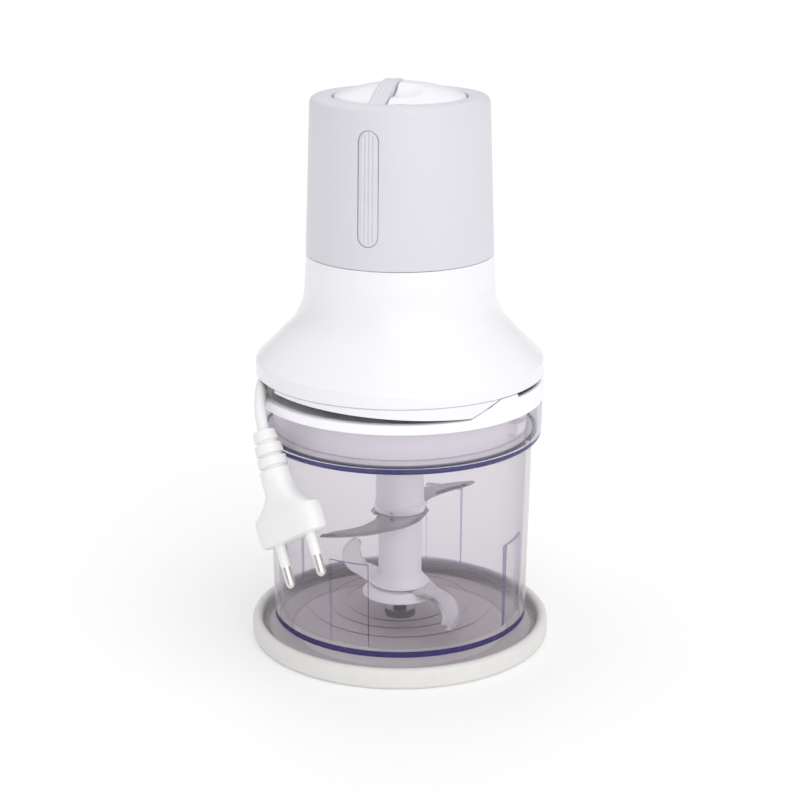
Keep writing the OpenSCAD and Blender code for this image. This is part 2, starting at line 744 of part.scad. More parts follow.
plug_side = [0.72, -0.476, 0.499];

// Ribbed sleeve between lead and plug
module strain_relief()
    color("white")
        aim(relief_at, plug_dir, plug_side)
            difference() {
                rotate_extrude($fn = 48)
                    polygon([[0, 0.5], [4.6, 0.5], [5.2, 1.1], [5.2, 5.4], [3.9, 5.4], [3.9, 6.6], [5.3, 6.6], [5.6, 11],
                        [4.4, 11], [4.4, 12.2], [5.9, 12.2], [6.2, 16.6], [5.2, 16.6], [5.2, 17.8], [6.4, 17.8],
                        [6.4, relief_l], [0, relief_l]]);
            }

// Two-pin plug: flat tapering body
module plug_body()
    color("white")
        aim(relief_at + unit(plug_dir) * relief_l, plug_dir, plug_side)
            difference() {
                hull() {
                    cylinder(r = 6.4, h = 1, $fn = 32);
                    for (s = [-1, 1]) {
                        translate([s * (plug_w / 2 - 5.6), 0, 14]) cylinder(r = 5.6, h = 1, $fn = 32);
                        translate([s * (plug_w / 2 - 6.3), 0, 15]) cylinder(r = 6.3, h = body_l - 15, $fn = 32);
                    }
                }
                for (s = [-1, 1])
                    translate([s * pin_gap / 2, 0, body_l - 6]) cylinder(r = 2, h = 7, $fn = 48);
            }

module plug_pins()
    color("silver")
        aim(relief_at + unit(plug_dir) * relief_l, plug_dir, plug_side)
            for (s = [-1, 1])
                translate([s * pin_gap / 2, 0, body_l - 6])
                    rotate_extrude($fn = 48)
                        polygon(concat([[0, 0], [2, 0]], arc(0.4, pin_l + 4.4, 1.6, 0, 90, 6), [[0, pin_l + 6]]));

// ---------- gearbox ----------

module gearbox_case()
    color("dimgray")
        difference() {
            union() {
                tube(ring_pitch_r + 6.5, ring_pitch_r + 4, case_z, plate_z);
                translate([0, 0, case_z]) cylinder(r = ring_pitch_r + 5, h = 1.6);
                for (a = [0:120:240])
                    rotate([0, 0, a + 30]) translate([case_screw_r, 0, plate_z - 8]) cylinder(r = 2.8, h = 8, $fn = 32);
            }
            translate([0, 0, case_z - thru]) cylinder(r = shaft_r + 5 + seat, h = 5);
            for (a = [0:120:240])
                rotate([0, 0, a + 30]) translate([case_screw_r, 0, plate_z - 7]) cylinder(r = 1.1, h = 8, $fn = 24);
        }

module ring_gear()
    color("ivory")
        translate([0, 0, gear_z - 0.5])
            linear_extrude(gear_w + 1)
                difference() {
                    circle(r = ring_pitch_r + 4);
                    rotate(180 / ring_n)
                        gear_outline(ring_n, ring_pitch_r - 0.8 * gear_m, ring_pitch_r + 1.2 * gear_m, -backlash);
                }

// Bush that the output shaft turns in
module gearbox_bush()
    color("darkgoldenrod")
        tube(shaft_r + 5, out_r + run, unit_z + 0.4, case_z + 2.4);

module planet_carrier()
    color("silver")
        difference() {
            union() {
                translate([0, 0, carrier_z]) cylinder(r = planet_c + 5, h = 3);
                for (a = [0:120:240])
                    rotate([0, 0, a]) translate([planet_c, 0, carrier_z]) cylinder(r = 2, h = 3.6 + gear_w, $fn = 48);
            }
            translate([0, 0, carrier_z - thru]) cylinder(r = out_r, h = 5, $fn = 48);
        }

// Output shaft: round in its bush, hexagonal in the blade's socket
module output_shaft()
    color("silver")
        union() {
            translate([0, 0, unit_z]) cylinder(r = out_r, h = carrier_z + 3 - unit_z, $fn = 48);
            translate([0, 0, well_z - 15]) cylinder(r = hex_r(drive_af - 0.3), h = unit_z - well_z + 15.2, $fn = 6);
        }

module planet_gear(k)
    color("ivory")
        rotate([0, 0, 120 * k])
            translate([planet_c, 0, gear_z])
                difference() {
                    linear_extrude(gear_w)
                        rotate(180 / planet_n)
                            gear_outline(planet_n, gear_m * (planet_n / 2 - 1.15), gear_m * (planet_n / 2 + 0.85), backlash);
                    translate([0, 0, -thru]) cylinder(r = 2 + run, h = gear_w + 2 * thru, $fn = 48);
                }

module planet_gear_1() planet_gear(0);
module planet_gear_2() planet_gear(1);
module planet_gear_3() planet_gear(2);

module sun_pinion()
    color("gray")
        difference() {
            translate([0, 0, gear_z])
                linear_extrude(gear_w + 0.6)
                    gear_outline(sun_n, gear_m * (sun_n / 2 - 1.15), gear_m * (sun_n / 2 + 0.85), backlash);
            translate([0, 0, gear_z - thru]) cylinder(r = shaft_r, h = gear_w + 2, $fn = 48);
        }

// ---------- motor ----------

module motor_shaft()
    color("silver")
        translate([0, 0, gear_z]) cylinder(r = shaft_r, h = brush_z + 6 - gear_z, $fn = 48);

pillar_r = stator_r + 3;

module motor_plate()
    color("silver")
        difference() {
            union() {
                translate([0, 0, plate_z]) cylinder(r = pillar_r + 4, h = 3);
                translate([0, 0, plate_z - 0.01]) cylinder(r = shaft_r + 4.4, h = 4.4);
            }
            translate([0, 0, plate_z - 1]) cylinder(r = shaft_r + bush_t, h = 9, $fn = 48);
            for (a = [45:90:315])
                rotate([0, 0, a]) translate([pillar_r, 0, plate_z - 1]) cylinder(r = 1.6, h = 6, $fn = 24);
            for (a = [0:120:240])
                rotate([0, 0, a + 30]) translate([case_screw_r, 0, plate_z - 1]) cylinder(r = 1.4, h = 6, $fn = 24);
            for (a = [0:90:270])
                rotate([0, 0, a]) translate([15, 0, plate_z - 1]) cylinder(r = 5, h = 6, $fn = 32);
        }

// Four long bolts that tie the plate, the stator and the brush plate together
module motor_pillars()
    color("silver")
        for (a = [45:90:315])
            rotate([0, 0, a]) translate([pillar_r, 0, plate_z + 0.4]) screw(1.6, brush_z + 3 - plate_z, 3, 1.6);

module stator_stack()
    color("slategray")
        translate([0, 0, stack_z])
            linear_extrude(stack_h)
                difference() {
                    union() {
                        circle(r = stator_r);
                        for (a = [45:90:315]) rotate(a) translate([pillar_r, 0]) circle(r = 3.4, $fn = 32);
                    }
                    circle(r = 14.7);
                    for (a = [45:90:315]) rotate(a) translate([pillar_r, 0]) circle(r = 1.65, $fn = 24);
                    // slots either side of the two poles
                    for (s = [-1, 1]) for (t = [-1, 1])
                        translate([s * 14.2, t * 15.4]) square([10.4, 9], center = true);
                }

// Two field coils, one round each pole
module field_coils()
    color("peru")
        for (s = [-1, 1])
            difference() {
                translate([0, s * 15.4, stack_z - 5.5])
                    linear_extrude(stack_h + 11)
                        difference() {
                            square([36.4, 7.4], center = true);
                            square([20.6, 9], center = true);
                        }
                translate([0, 0, stack_z - 9]) cylinder(r = 15.3, h = stack_h + 20);
            }

module rotor_stack()
    color("slategray")
        translate([0, 0, stack_z])
            linear_extrude(stack_h)
                difference() {
                    circle(r = 14.1);
                    circle(r = shaft_r, $fn = 48);
                    for (a = [0:30:330])
                        rotate(a) translate([12.6, 0]) square([4.4, 1.6], center = true);
                    for (a = [0:30:330])
                        rotate(a) translate([9.2, 0]) circle(r = 1.9, $fn = 24);
                }

// Copper ends above and below the stack
module rotor_windings()
    color("peru")
        union() {
            tube(12.6, shaft_r + 1.2, stack_z - 5, stack_z);
            tube(12.6, shaft_r + 1.2, stack_z + stack_h, stack_z + stack_h + 5);
        }

module commutator()
    color("darkorange")
        difference() {
            tube(6.5, shaft_r, comm_z, comm_z + 11);
            for (a = [0:30:330])
                rotate([0, 0, a]) translate([5.7, -0.2, comm_z + 1.4]) cube([2, 0.4, 10]);
        }

module cooling_fan()
    color("black")
        union() {
            tube(6.5, shaft_r, fan_z - 1, fan_z + 7);
            tube(20, 6, fan_z, fan_z + 1.2);
            for (a = [0:40:320])
                rotate([0, 0, a]) translate([6, -0.7, fan_z]) cube([14, 1.4, 6.6]);
        }

module brush_plate()
    color("ivory")
        difference() {
            union() {
                translate([0, 0, brush_z]) cylinder(r = pillar_r + 3.6, h = 3);
                translate([0, 0, brush_z]) cylinder(r = shaft_r + 4.4, h = 5);
            }
            translate([0, 0, brush_z - 1]) cylinder(r = shaft_r + bush_t, h = 9, $fn = 48);
            for (a = [45:90:315])
                rotate([0, 0, a]) translate([pillar_r, 0, brush_z - 1]) cylinder(r = 1.65, h = 6, $fn = 24);
            for (s = [-1, 1])
                translate([s * 24, 0, brush_z - 1]) cylinder(r = 4, h = 6, $fn = 32);
        }

module brush_holders()
    color("goldenrod")
        for (a = [90, 270])
            rotate([0, 0, a])
                difference() {
                    translate([8.5, -4, comm_z + 1]) cube([15, 8, 13 - seat]);
                    translate([8, -2.5, comm_z + 3]) cube([13.5, 5, 6]);
                }

module carbon_brushes()
    color("black")
        for (a = [90, 270])
            rotate([0, 0, a]) translate([6.6, -2.4, comm_z + 3.1]) cube([11, 4.8, 5.8]);

// Bushes at both ends of the motor shaft
module shaft_bushes()
    color("darkgoldenrod")
        union() {
            tube(shaft_r + bush_t, shaft_r + run, plate_z, plate_z + 4.2);
            tube(shaft_r + bush_t, shaft_r + run, brush_z, brush_z + 5);
        }

// ---------- switches and wiring ----------

module switch_shelf()
    color("gray")
        difference() {
            translate([0, 0, shelf_z]) cylinder(r = cap_r - shell_t - 1.5, h = 2);
            for (s = [-1, 1])
                translate([0, s * 26, shelf_z - 1]) cylinder(r = 4, h = 4, $fn = 32);
            for (a = shelf_posts)
                rotate([0, 0, a]) translate([post_r, 0, shelf_z - 1]) cylinder(r = 1.4, h = 4, $fn = 24);
        }

module circuit_board()
    color("darkgreen")
        translate([-22, -15, shelf_z + 2 + seat]) cube([44, 30, 1.6]);

module micro_switches()
    color("black")
        for (s = [-1, 1])
            translate([stem_x(s), 0, shelf_z + 3.6 + 2 * seat]) {
                translate([-3.2, -6.4, 0]) cube([6.4, 12.8, 5]);
                translate([0, 0, 5 - seat]) cylinder(r = 1.4, h = 0.9, $fn = 32);
            }

// Interference suppressor on the board
module suppressor()
    color("gold")
        translate([2.6, -12.6, shelf_z + 3.6 + 2 * seat]) cube([3.6, 10, 6.5]);

// Insulated leads from the gland up to the board, clear of the motor
module lead_wires()
    color("steelblue")
        for (k = [0, 1])
            sweep([
                [36.7 + 1.6 * k, 16, coil_z + 2.5], [36.6 + 1.6 * k, 12.4, coil_z + 2.8], [36.6, 8 + 2 * k, coil_z + 6],
                [36.2, 2 + 2 * k, plate_z + 6],
                [35.6, 2 * k - 1, stack_z + 10], [35.4, 2 * k - 1, comm_z], [35.4, 2 * k - 1, brush_z + 3],
                [34.6, 2 * k, brush_z + 8], [30, 10 + 2 * k, brush_z + 10], [18, 20 + 2 * k, brush_z + 12],
                [4 + 2 * k, 25.6, shelf_z - 3], [1.6 * k - 0.8, 26, shelf_z],
                [1.6 * k - 0.8, 26, shelf_z + 5], [1.6 * k - 0.8, 22, shelf_z + 8], [1.6 * k - 0.8, 14, shelf_z + 7],
                [1.6 * k - 0.8, 12.4, shelf_z + 4.2]],
                0.7, 6);

// ---------- screws ----------

module housing_screws()
    color("silver")
        for (a = [60:120:300])
            rotate([0, 0, a]) translate([boss_screw_r, 0, deck_z + 9]) mirror([0, 0, 1]) screw(1.25, 9, 2.6, 1.4);

module gearbox_screws()
    color("silver")
        for (a = [0:120:240])
            rotate([0, 0, a + 30]) translate([case_screw_r, 0, plate_z - 7]) screw(1.1, 10, 2.2, 1.4);

module shelf_screws()
    color("silver")
        for (a = shelf_posts)
            rotate([0, 0, a]) translate([post_r, 0, shelf_z - 7]) screw(1.3, 9, 2.6, 1.4);

non_slip_ring();
bowl();
bowl_spindle();
blade_foot();
lower_blade();
blade_hub();
upper_blade();
blade_sleeve();
hub_bush();
drive_socket();
bowl_lid();
lid_seal();
flared_housing();
skirt_band();
cord_spool();
upper_cap();
grip_inlay();
button_frame();
button_spring_1();
button_spring_2();
cord_gland();
cord_coil();
cord_tail();
strain_relief();
plug_body();
plug_pins();
gearbox_case();
ring_gear();
gearbox_bush();
motor_plate();
motor_pillars();
stator_stack();
field_coils();
brush_plate();
brush_holders();
carbon_brushes();
shaft_bushes();
switch_shelf();
circuit_board();
micro_switches();
suppressor();
lead_wires();
housing_screws();
gearbox_screws();
shelf_screws();
planet_carrier();
output_shaft();
planet_gear_1();
planet_gear_2();
planet_gear_3();
motor_shaft();
sun_pinion();
rotor_stack();
rotor_windings();
commutator();
cooling_fan();
press_button_1();
press_button_2();
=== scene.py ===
"""Looks of a mini food processor, modelled round its fixed frame of CAD parts."""

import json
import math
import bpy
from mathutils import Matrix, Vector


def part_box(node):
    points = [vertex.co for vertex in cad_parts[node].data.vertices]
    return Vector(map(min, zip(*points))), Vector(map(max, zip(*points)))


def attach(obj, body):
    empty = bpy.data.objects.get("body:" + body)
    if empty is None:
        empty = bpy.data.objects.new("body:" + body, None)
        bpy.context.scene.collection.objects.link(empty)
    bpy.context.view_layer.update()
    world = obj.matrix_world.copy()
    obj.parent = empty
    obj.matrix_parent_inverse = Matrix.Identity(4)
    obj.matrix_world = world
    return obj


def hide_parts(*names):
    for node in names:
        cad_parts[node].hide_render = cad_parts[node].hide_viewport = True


bl_info = {
    "name": "Mini Food Processor",
    "version": (1, 0, 0),
    "blender": (4, 5, 0),
    "location": "3D View > Sidebar > Chopper",
    "description": "Models a mini food processor piece by piece round its CAD frame",
    "category": "Add Mesh",
}

import bpy
from bpy.props import FloatProperty, FloatVectorProperty, IntProperty, PointerProperty
from mathutils import Matrix, Vector

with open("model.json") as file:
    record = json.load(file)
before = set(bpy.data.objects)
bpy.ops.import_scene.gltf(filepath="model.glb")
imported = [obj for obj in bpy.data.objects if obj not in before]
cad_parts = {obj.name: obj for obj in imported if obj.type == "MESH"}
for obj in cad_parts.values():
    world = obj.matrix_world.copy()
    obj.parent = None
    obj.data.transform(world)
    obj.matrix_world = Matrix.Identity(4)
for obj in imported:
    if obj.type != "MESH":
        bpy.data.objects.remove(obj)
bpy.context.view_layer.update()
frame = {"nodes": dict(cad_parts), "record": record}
MM = 0.001
STEPS = 160  # facets round a full turn
CAMERA_AT = (0, -0.823, 0.358)
CAMERA_DOWN = 16.76  # degrees below the horizontal
CAMERA_LENS = 86.4
CLEAR_IOR = 1.42  # refractive index of the clear plastics


def low(node):
    """Height of a CAD node's underside, in millimetres."""
    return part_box(node)[0].z / MM


def high(node):
    """Height of a CAD node's top, in millimetres."""
    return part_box(node)[1].z / MM


def reach(node):
    """Largest radius of a round CAD node on the axis, in millimetres."""
    lowest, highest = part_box(node)
    return max(highest.x, -lowest.x, highest.y, -lowest.y) / MM


# Sizes shared by the pieces, in millimetres and degrees, most of them read from the frame
FLOOR = 13.2
LEDGE = low("lid_seal") - 0.05
COLLAR_TOP = high("bowl")
COLLAR_R = reach("bowl")
RIM_R = reach("bowl_lid")
RIM_TOP = COLLAR_TOP + 4.3
SEAM = low("flared_housing")
FLARE_R = reach("flared_housing")
NECK = low("upper_cap")
NECK_R = reach("upper_cap")
CAP_H = 66.0
CAP_TOP = NECK + CAP_H
CAP_TAPER = 2.5
CAP_R = NECK_R - CAP_TAPER
PAD_R = 28.6
POCKET_R = PAD_R + 0.8
DOME_H = 5.7
DOME_RHO = (PAD_R * PAD_R + DOME_H * DOME_H) / 2 / DOME_H
BAR_W = 6.7
LOWER_BLADE = (low("lower_blade") + high("lower_blade")) / 2
UPPER_BLADE = (low("upper_blade") + high("upper_blade")) / 2
INLAY_AZ = -19.5
INLAY_HALF = 4.55
INLAY_STRAIGHT = 19.7
INLAY_MIDDLE = NECK + 34.3
HUB_BORE = 5.1
LOWER_FOLD_REACH = 28  # from the lower blade's folds to its tips
UPPER_FOLD_REACH = 20
BAND_FOOT = 118.4
BAND_CUT = 120.4  # height of the slanting cut on the axis
BAND_SLOPE = 0.055
TAB_AZ = (28, 84)
PAD_AZ = (-24, 67, 157, -113)
COIL_LOW = 123.7
CORD_D = 5.0

# The lead's free stretch, in millimetres, and the direction and broad side of the plug
CORD_ROUTE = [
    (-53.7, 10.2, 123.4), (-54.7, 8, 123.2), (-56.6, 3.5, 122.9), (-58.2, -1, 122.6),
    (-59.4, -6, 122.2), (-60.2, -11, 121.9), (-60.5, -15, 121.7), (-60.6, -19, 121.4),
    (-60.6, -23, 120.7), (-60.5, -27, 119.3), (-60.4, -30, 117.6), (-60.2, -32.5, 115.5),
    (-59.8, -34.8, 113), (-59.2, -36.6, 110.5), (-58.6, -38, 108),
]
PLUG_DIR = Vector((0.285, -0.443, -0.85)).normalized()
PLUG_SIDE = Vector((0.72, -0.476, 0.499))
RELIEF_L = 22.0
PLUG_L = 27.0
PLUG_W = 35.3
PIN_GAP = 18.6
PIN_L = 19.0


# ---------- sizes and colours a user would change ----------


def length(name, description, value):
    """A small size, in metres."""
    return FloatProperty(name=name, description=description, default=value, min=0, unit="LENGTH")


def tint(name, description, value):
    """A colour."""
    return FloatVectorProperty(name=name, description=description, default=value, subtype="COLOR",
                               min=0, max=1, size=3)


class ChopperSizes(bpy.types.PropertyGroup):
    edge: length("Moulded Edge", "Rounding of the moulded edges", 0.0006)
    button_edge: length("Button Edge", "Rounding along the buttons' edges", 0.0014)
    button_dish: length("Button Dish", "Radius of the thumb dish in the press pad", 0.032)
    ribs: IntProperty(name="Grip Ribs", description="Ribs on the grip strip", default=4, min=2, max=8)
    rib_height: length("Rib Height", "How far a rib stands out of the grip strip", 0.0005)
    lower_bend: length("Lower Blade Bend", "How far the lower blade's tips leave its plane", 0.0068)
    upper_bend: length("Upper Blade Bend", "How far the upper blade's tips leave its plane", 0.0022)
    blade_grind: length("Blade Grind", "Width of the ground edge of the blades", 0.0016)
    cord_length: length("Cord Length", "Real length of the mains lead", 1.1)
    cord_width: length("Cord Diameter", "Diameter of the mains lead", CORD_D * MM)


class ChopperColours(bpy.types.PropertyGroup):
    white: tint("White Plastic", "Gloss white of the housing and lid", (0.85, 0.845, 0.875))
    cap: tint("Cap Plastic", "Pale grey of the upper cap", (0.67, 0.665, 0.715))
    inlay: tint("Grip Strip", "Soft grey of the grip strip", (0.67, 0.665, 0.72))
    ring: tint("Non-slip Ring", "Warm grey of the non-slip ring", (0.72, 0.71, 0.69))
    clear: tint("Clear Plastic", "What passes through one face of the bowl", (0.95, 0.935, 0.951))
    # Painted shade: a dark blue tone that stands for the look refraction gives the clear plastic where it is
    # seen edge on.
    edge: tint("Clear Edge", "Dark tone where the clear plastic is seen edge on", (0.034, 0.030, 0.135))
    steel: tint("Blade Steel", "Steel of the blades and spindle", (0.76, 0.755, 0.76))
    cord: tint("Lead", "White of the lead, plug and strain relief", (0.84, 0.84, 0.84))


# ---------- modelling helpers ----------


def deselect():
    """Object mode with nothing selected."""
    if bpy.context.mode != "OBJECT":
        bpy.ops.object.mode_set(mode="OBJECT")
    bpy.ops.object.select_all(action="DESELECT")


def activate(piece):
    """Makes a piece the only one selected, and the active one."""
    deselect()
    piece.select_set(True)
    bpy.context.view_layer.objects.active = piece


def edit(piece):
    """Opens a piece in edit mode with all of it selected."""
    activate(piece)
    bpy.ops.object.mode_set(mode="EDIT")
    bpy.ops.mesh.select_all(action="SELECT")


def weld(distance):
    """Selects all of the mesh and merges what is closer than a distance in metres."""
    bpy.ops.mesh.select_all(action="SELECT")
    bpy.ops.mesh.remove_doubles(threshold=distance)


def close_rim(offset):
    """Extrudes the open border by an offset and fills it there."""
    bpy.ops.mesh.select_mode(type="EDGE")
    bpy.ops.mesh.select_all(action="DESELECT")
    bpy.ops.mesh.select_non_manifold(extend=False, use_wire=False, use_multi_face=False,
                                     use_non_contiguous=False, use_verts=False)
    bpy.ops.mesh.extrude_region_move(TRANSFORM_OT_translate={"value": offset})
    bpy.ops.mesh.edge_face_add()
    bpy.ops.mesh.select_mode(type="VERT")


def crowded(t):
    """A share from 0 to 1, its steps crowded towards both ends."""
    return (1 - math.cos(math.pi * t)) / 2


def facing(az, r, z):
    """Point at radius r and height z, at an angle in degrees from the front, in metres."""
    a = math.radians(az)
    return Vector((r * math.sin(a), -r * math.cos(a), z)) * MM


def begin(name, point):
    """Starts a piece as one vertex, selected, in edit mode."""
    deselect()
    bpy.ops.mesh.primitive_plane_add(size=MM)
    piece = bpy.context.object
    piece.name = piece.data.name = name
    bpy.ops.object.mode_set(mode="EDIT")
    bpy.ops.mesh.select_all(action="SELECT")
    bpy.ops.mesh.merge(type="CENTER")
    bpy.ops.transform.translate(value=point)
    return piece


def draw(points):
    """Extrudes the selected vertex from point to point."""
    for here, there in zip(points, points[1:]):
        bpy.ops.mesh.extrude_region_move(TRANSFORM_OT_translate={"value": there - here})


def settle(piece, angle=32):
    """Closes the seams, turns the faces outwards and smooths them."""
    weld(2e-5)
    bpy.ops.mesh.normals_make_consistent(inside=False)
    bpy.ops.object.mode_set(mode="OBJECT")
    bpy.ops.object.shade_smooth_by_angle(angle=math.radians(angle))
    return piece


def rounded(corners, closed, steps=4):
    """Points of the line through corners (r, z, rounding), in millimetres."""
    line = []
    count = len(corners)
    for i, corner in enumerate(corners):
        here = Vector(corner[:2])
        rounding = corner[2] if len(corner) > 2 else 0
        if rounding == 0 or (not closed and i in (0, count - 1)):
            line.append(here)
            continue
        back = Vector(corners[i - 1][:2]) - here
        on = Vector(corners[(i + 1) % count][:2]) - here
        half = back.angle(on) / 2
        run = min(rounding / math.tan(half), 0.48 * back.length, 0.48 * on.length)
        centre = here + (back.normalized() + on.normalized()).normalized() * run / math.cos(half)
        first = here + back.normalized() * run - centre
        last = here + on.normalized() * run - centre
        start = math.atan2(first.y, first.x)
        turn = math.atan2(last.y, last.x) - start
        turn = (turn + math.pi) % (2 * math.pi) - math.pi
        for k in range(steps + 1):
            a = start + turn * k / steps
            line.append(centre + first.length * Vector((math.cos(a), math.sin(a))))
    return line


def lathe(name, corners, closed=True, az=0, turn=360, angle=32):
    """Turned piece: a line of corners (r, z, rounding), spun about the axis from az by turn degrees."""
    line = rounded(corners, closed)
    if closed:
        line.append(line[0])
    points = [facing(az, p.x, p.y) for p in line]
    piece = begin(name, points[0])
    draw(points)
    weld(2e-6)
    steps = max(3, round(STEPS * turn / 360))
    bpy.ops.mesh.spin(steps=steps, angle=-math.radians(turn), center=(0, 0, 0), axis=(0, 0, 1))
    weld(2e-5)
    if turn < 360:
        bpy.ops.mesh.select_all(action="SELECT")
        bpy.ops.mesh.fill_holes(sides=0)
    return settle(piece, angle)


def cut(piece, point, normal, clear_outer=True):
    """Cuts a piece with a plane and closes the cut."""
    edit(piece)
    bpy.ops.mesh.bisect(plane_co=point, plane_no=normal, use_fill=True, clear_outer=clear_outer,
                        clear_inner=not clear_outer, threshold=1e-6)
    return settle(piece)


def modify(piece, kind, **settings):
    """Adds a modifier to a piece and applies it."""
    activate(piece)
    modifier = piece.modifiers.new(kind.title(), kind)
    for key, value in settings.items():
        setattr(modifier, key, value)
    bpy.ops.object.modifier_apply(modifier=modifier.name)
    return piece


def place(piece, matrix):
    """Moves a piece by a matrix and applies the move to its mesh."""
    activate(piece)
    piece.matrix_world = matrix
    bpy.ops.object.transform_apply(location=True, rotation=True, scale=True)
    return piece


def twin(piece, name, matrix):
    """A copy of a piece with its own mesh, moved by a matrix."""
    copy = piece.copy()
    copy.data = piece.data.copy()
    copy.name = copy.data.name = name
    bpy.context.collection.objects.link(copy)
    return place(copy, matrix)


def remove(piece):
    """Deletes a helper object."""
    deselect()
    piece.select_set(True)
    bpy.ops.object.delete()


def grid(name, across, along, spot):
    """Grid of vertices laid over a surface; spot(u, v) gives a point in millimetres, u and v from 0 to 1."""
    deselect()
    bpy.ops.mesh.primitive_grid_add(x_subdivisions=across, y_subdivisions=along, size=2)
    piece = bpy.context.object
    piece.name = piece.data.name = name
    for vertex in piece.data.vertices:
        u = (vertex.co.x + 1) / 2
        v = (vertex.co.y + 1) / 2
        vertex.co = Vector(spot(u, v)) * MM
    return piece


def skirted(piece, drop, angle=32):
    """Extrudes a grid's border downwards, closes the underside and settles the piece."""
    edit(piece)
    weld(1e-6)
    close_rim((0, 0, -drop * MM))
    return settle(piece, angle)


def blade_sheet(name, outline, z, thick, grind, bends):
    """Blade: its outline filled, thickened, ground along the rim and folded along lines.

    A fold is a point on it, its direction, the side that turns, and the angle in degrees."""
    points = [Vector((x, y, z - thick / 2)) * MM for x, y in outline]
    piece = begin(name, points[0])
    draw(points + [points[0]])
    weld(2e-6)
    bpy.ops.mesh.select_all(action="SELECT")
    bpy.ops.mesh.primitive_circle_add(vertices=48, radius=HUB_BORE * MM,
                                      location=(0, 0, (z - thick / 2) * MM))
    bpy.ops.mesh.select_all(action="SELECT")
    bpy.ops.mesh.fill(use_beauty=True)
    bpy.ops.mesh.select_all(action="SELECT")
    bpy.ops.mesh.inset(thickness=grind, depth=0, use_boundary=True, use_even_offset=True)
    bpy.ops.mesh.select_all(action="SELECT")
    bpy.ops.mesh.extrude_region_move(TRANSFORM_OT_translate={"value": (0, 0, thick * MM)})
    bpy.ops.mesh.select_all(action="SELECT")
    bpy.ops.mesh.normals_make_consistent(inside=False)
    bpy.ops.object.mode_set(mode="OBJECT")
    rim = {(round(p.x, 6), round(p.y, 6)) for p in points}
    top = (z + thick / 2) * MM
    for vertex in piece.data.vertices:
        key = (round(vertex.co.x, 6), round(vertex.co.y, 6))
        if key in rim and vertex.co.z > top - 1e-5:
            vertex.co.z -= 0.75 * thick * MM
    for spot, along, side, degrees in bends:
        fold(piece, Vector((*spot, z)) * MM, Vector(along), side, math.radians(degrees))
    bpy.ops.object.mode_set(mode="EDIT")
    return settle(piece, 25)


def fold(piece, pivot, along, side, angle):
    """Folds all that lies to one side of an upright plane, upwards for a positive angle."""
    across = Vector((-along.y, along.x, 0)).normalized() * side
    bpy.ops.object.mode_set(mode="EDIT")
    bpy.ops.mesh.select_all(action="SELECT")
    bpy.ops.mesh.bisect(plane_co=pivot, plane_no=across, threshold=1e-6)
    bpy.ops.object.mode_set(mode="OBJECT")
    turn = Matrix.Rotation(angle, 3, across.cross(Vector((0, 0, 1))))
    for vertex in piece.data.vertices:
        arm = vertex.co - pivot
        if arm.dot(across) > 1e-6:
            vertex.co = pivot + turn @ arm


def aimed(point, direction, side):
    """Matrix that puts the origin at a point, +Z along a direction and +X towards a side."""
    z = direction.normalized()
    x = (side - z * side.dot(z)).normalized()
    turn = Matrix((x, z.cross(x), z)).transposed().to_4x4()
    return Matrix.Translation(Vector(point) * MM) @ turn


# ---------- materials ----------


class Signal:
    """A shader value. Arithmetic on it adds Math nodes."""

    def __init__(self, finish, socket):
        self.finish = finish
        self.socket = socket

    def _math(self, operation, first, second):
        return self.finish.node("ShaderNodeMath", {"operation": operation}, {0: first, 1: second})

    def __add__(self, other):
        return self._math("ADD", self, other)

    def __sub__(self, other):
        return self._math("SUBTRACT", self, other)

    def __mul__(self, other):
        return self._math("MULTIPLY", self, other)

    def __radd__(self, other):
        return self._math("ADD", other, self)

    def __rsub__(self, other):
        return self._math("SUBTRACT", other, self)

    def __rmul__(self, other):
        return self._math("MULTIPLY", other, self)


class Finish:
    """A material, or the world, and its node tree."""

    def __init__(self, name, kind="materials"):
        self.material = getattr(bpy.data, kind).new(name)
        self.material.use_nodes = True
        self.tree = self.material.node_tree
        self.tree.nodes.clear()
        self.kind = kind
        self.where = self.node("ShaderNodeTexCoord", out="Generated" if kind == "worlds" else "Object")

    def node(self, kind, settings=None, inputs=None, out=0):
        """Adds a node: settings first, then the values or links of its sockets."""
        node = self.tree.nodes.new(kind)
        for key, value in (settings or {}).items():
            setattr(node, key, value)
        for key, value in (inputs or {}).items():
            if isinstance(value, Signal):
                self.tree.links.new(value.socket, node.inputs[key])
            else:
                node.inputs[key].default_value = value
        return Signal(self, node.outputs[out])

    def stretched(self, scale, turn=(0, 0, 0)):
        """Object coordinates stretched along an axis."""
        return self.node("ShaderNodeMapping", None, {"Vector": self.where, "Scale": scale, "Rotation": turn})

    def noise(self, size, detail=2.0, where=None):
        """Noise of a grain size in metres."""
        return self.node("ShaderNodeTexNoise", None,
                         {"Vector": where or self.where, "Scale": 1 / size, "Detail": detail})

    def speckle(self, size):
        """Small round cells of a size in metres."""
        return self.node("ShaderNodeTexVoronoi", None, {"Vector": self.where, "Scale": 1 / size})

    def rings(self, pitch, axis="Z"):
        """Even bands across an axis."""
        return self.node("ShaderNodeTexWave", {"bands_direction": axis}, {"Vector": self.where,
                         "Scale": 0.05 / pitch * 2 * math.pi, "Distortion": 0.0}, out="Fac")

    def between(self, low_colour, high_colour, share):
        """Mixes two colours by a share."""
        return self.node("ShaderNodeMix", {"data_type": "RGBA"},
                         {"Factor": share, 6: (*low_colour, 1), 7: (*high_colour, 1)}, out=2)

    def bump(self, height, distance, strength=1.0):
        """Bump of a height up to a distance in metres."""
        return self.node("ShaderNodeBump", None,
                         {"Height": height, "Distance": distance, "Strength": strength})

    def surface(self, constants, **varying):
        """Principled surface with constant and varying values."""
        values = {key.replace("_", " ").title(): value for key, value in varying.items()}
        return self.node("ShaderNodeBsdfPrincipled", None, {**constants, **values})

    def done(self, shader):
        """Ends the material in a shader."""
        output = self.tree.nodes.new("ShaderNodeOutputWorld" if self.kind == "worlds"
                                     else "ShaderNodeOutputMaterial")
        self.tree.links.new(shader.socket, output.inputs["Surface"])
        return self.material


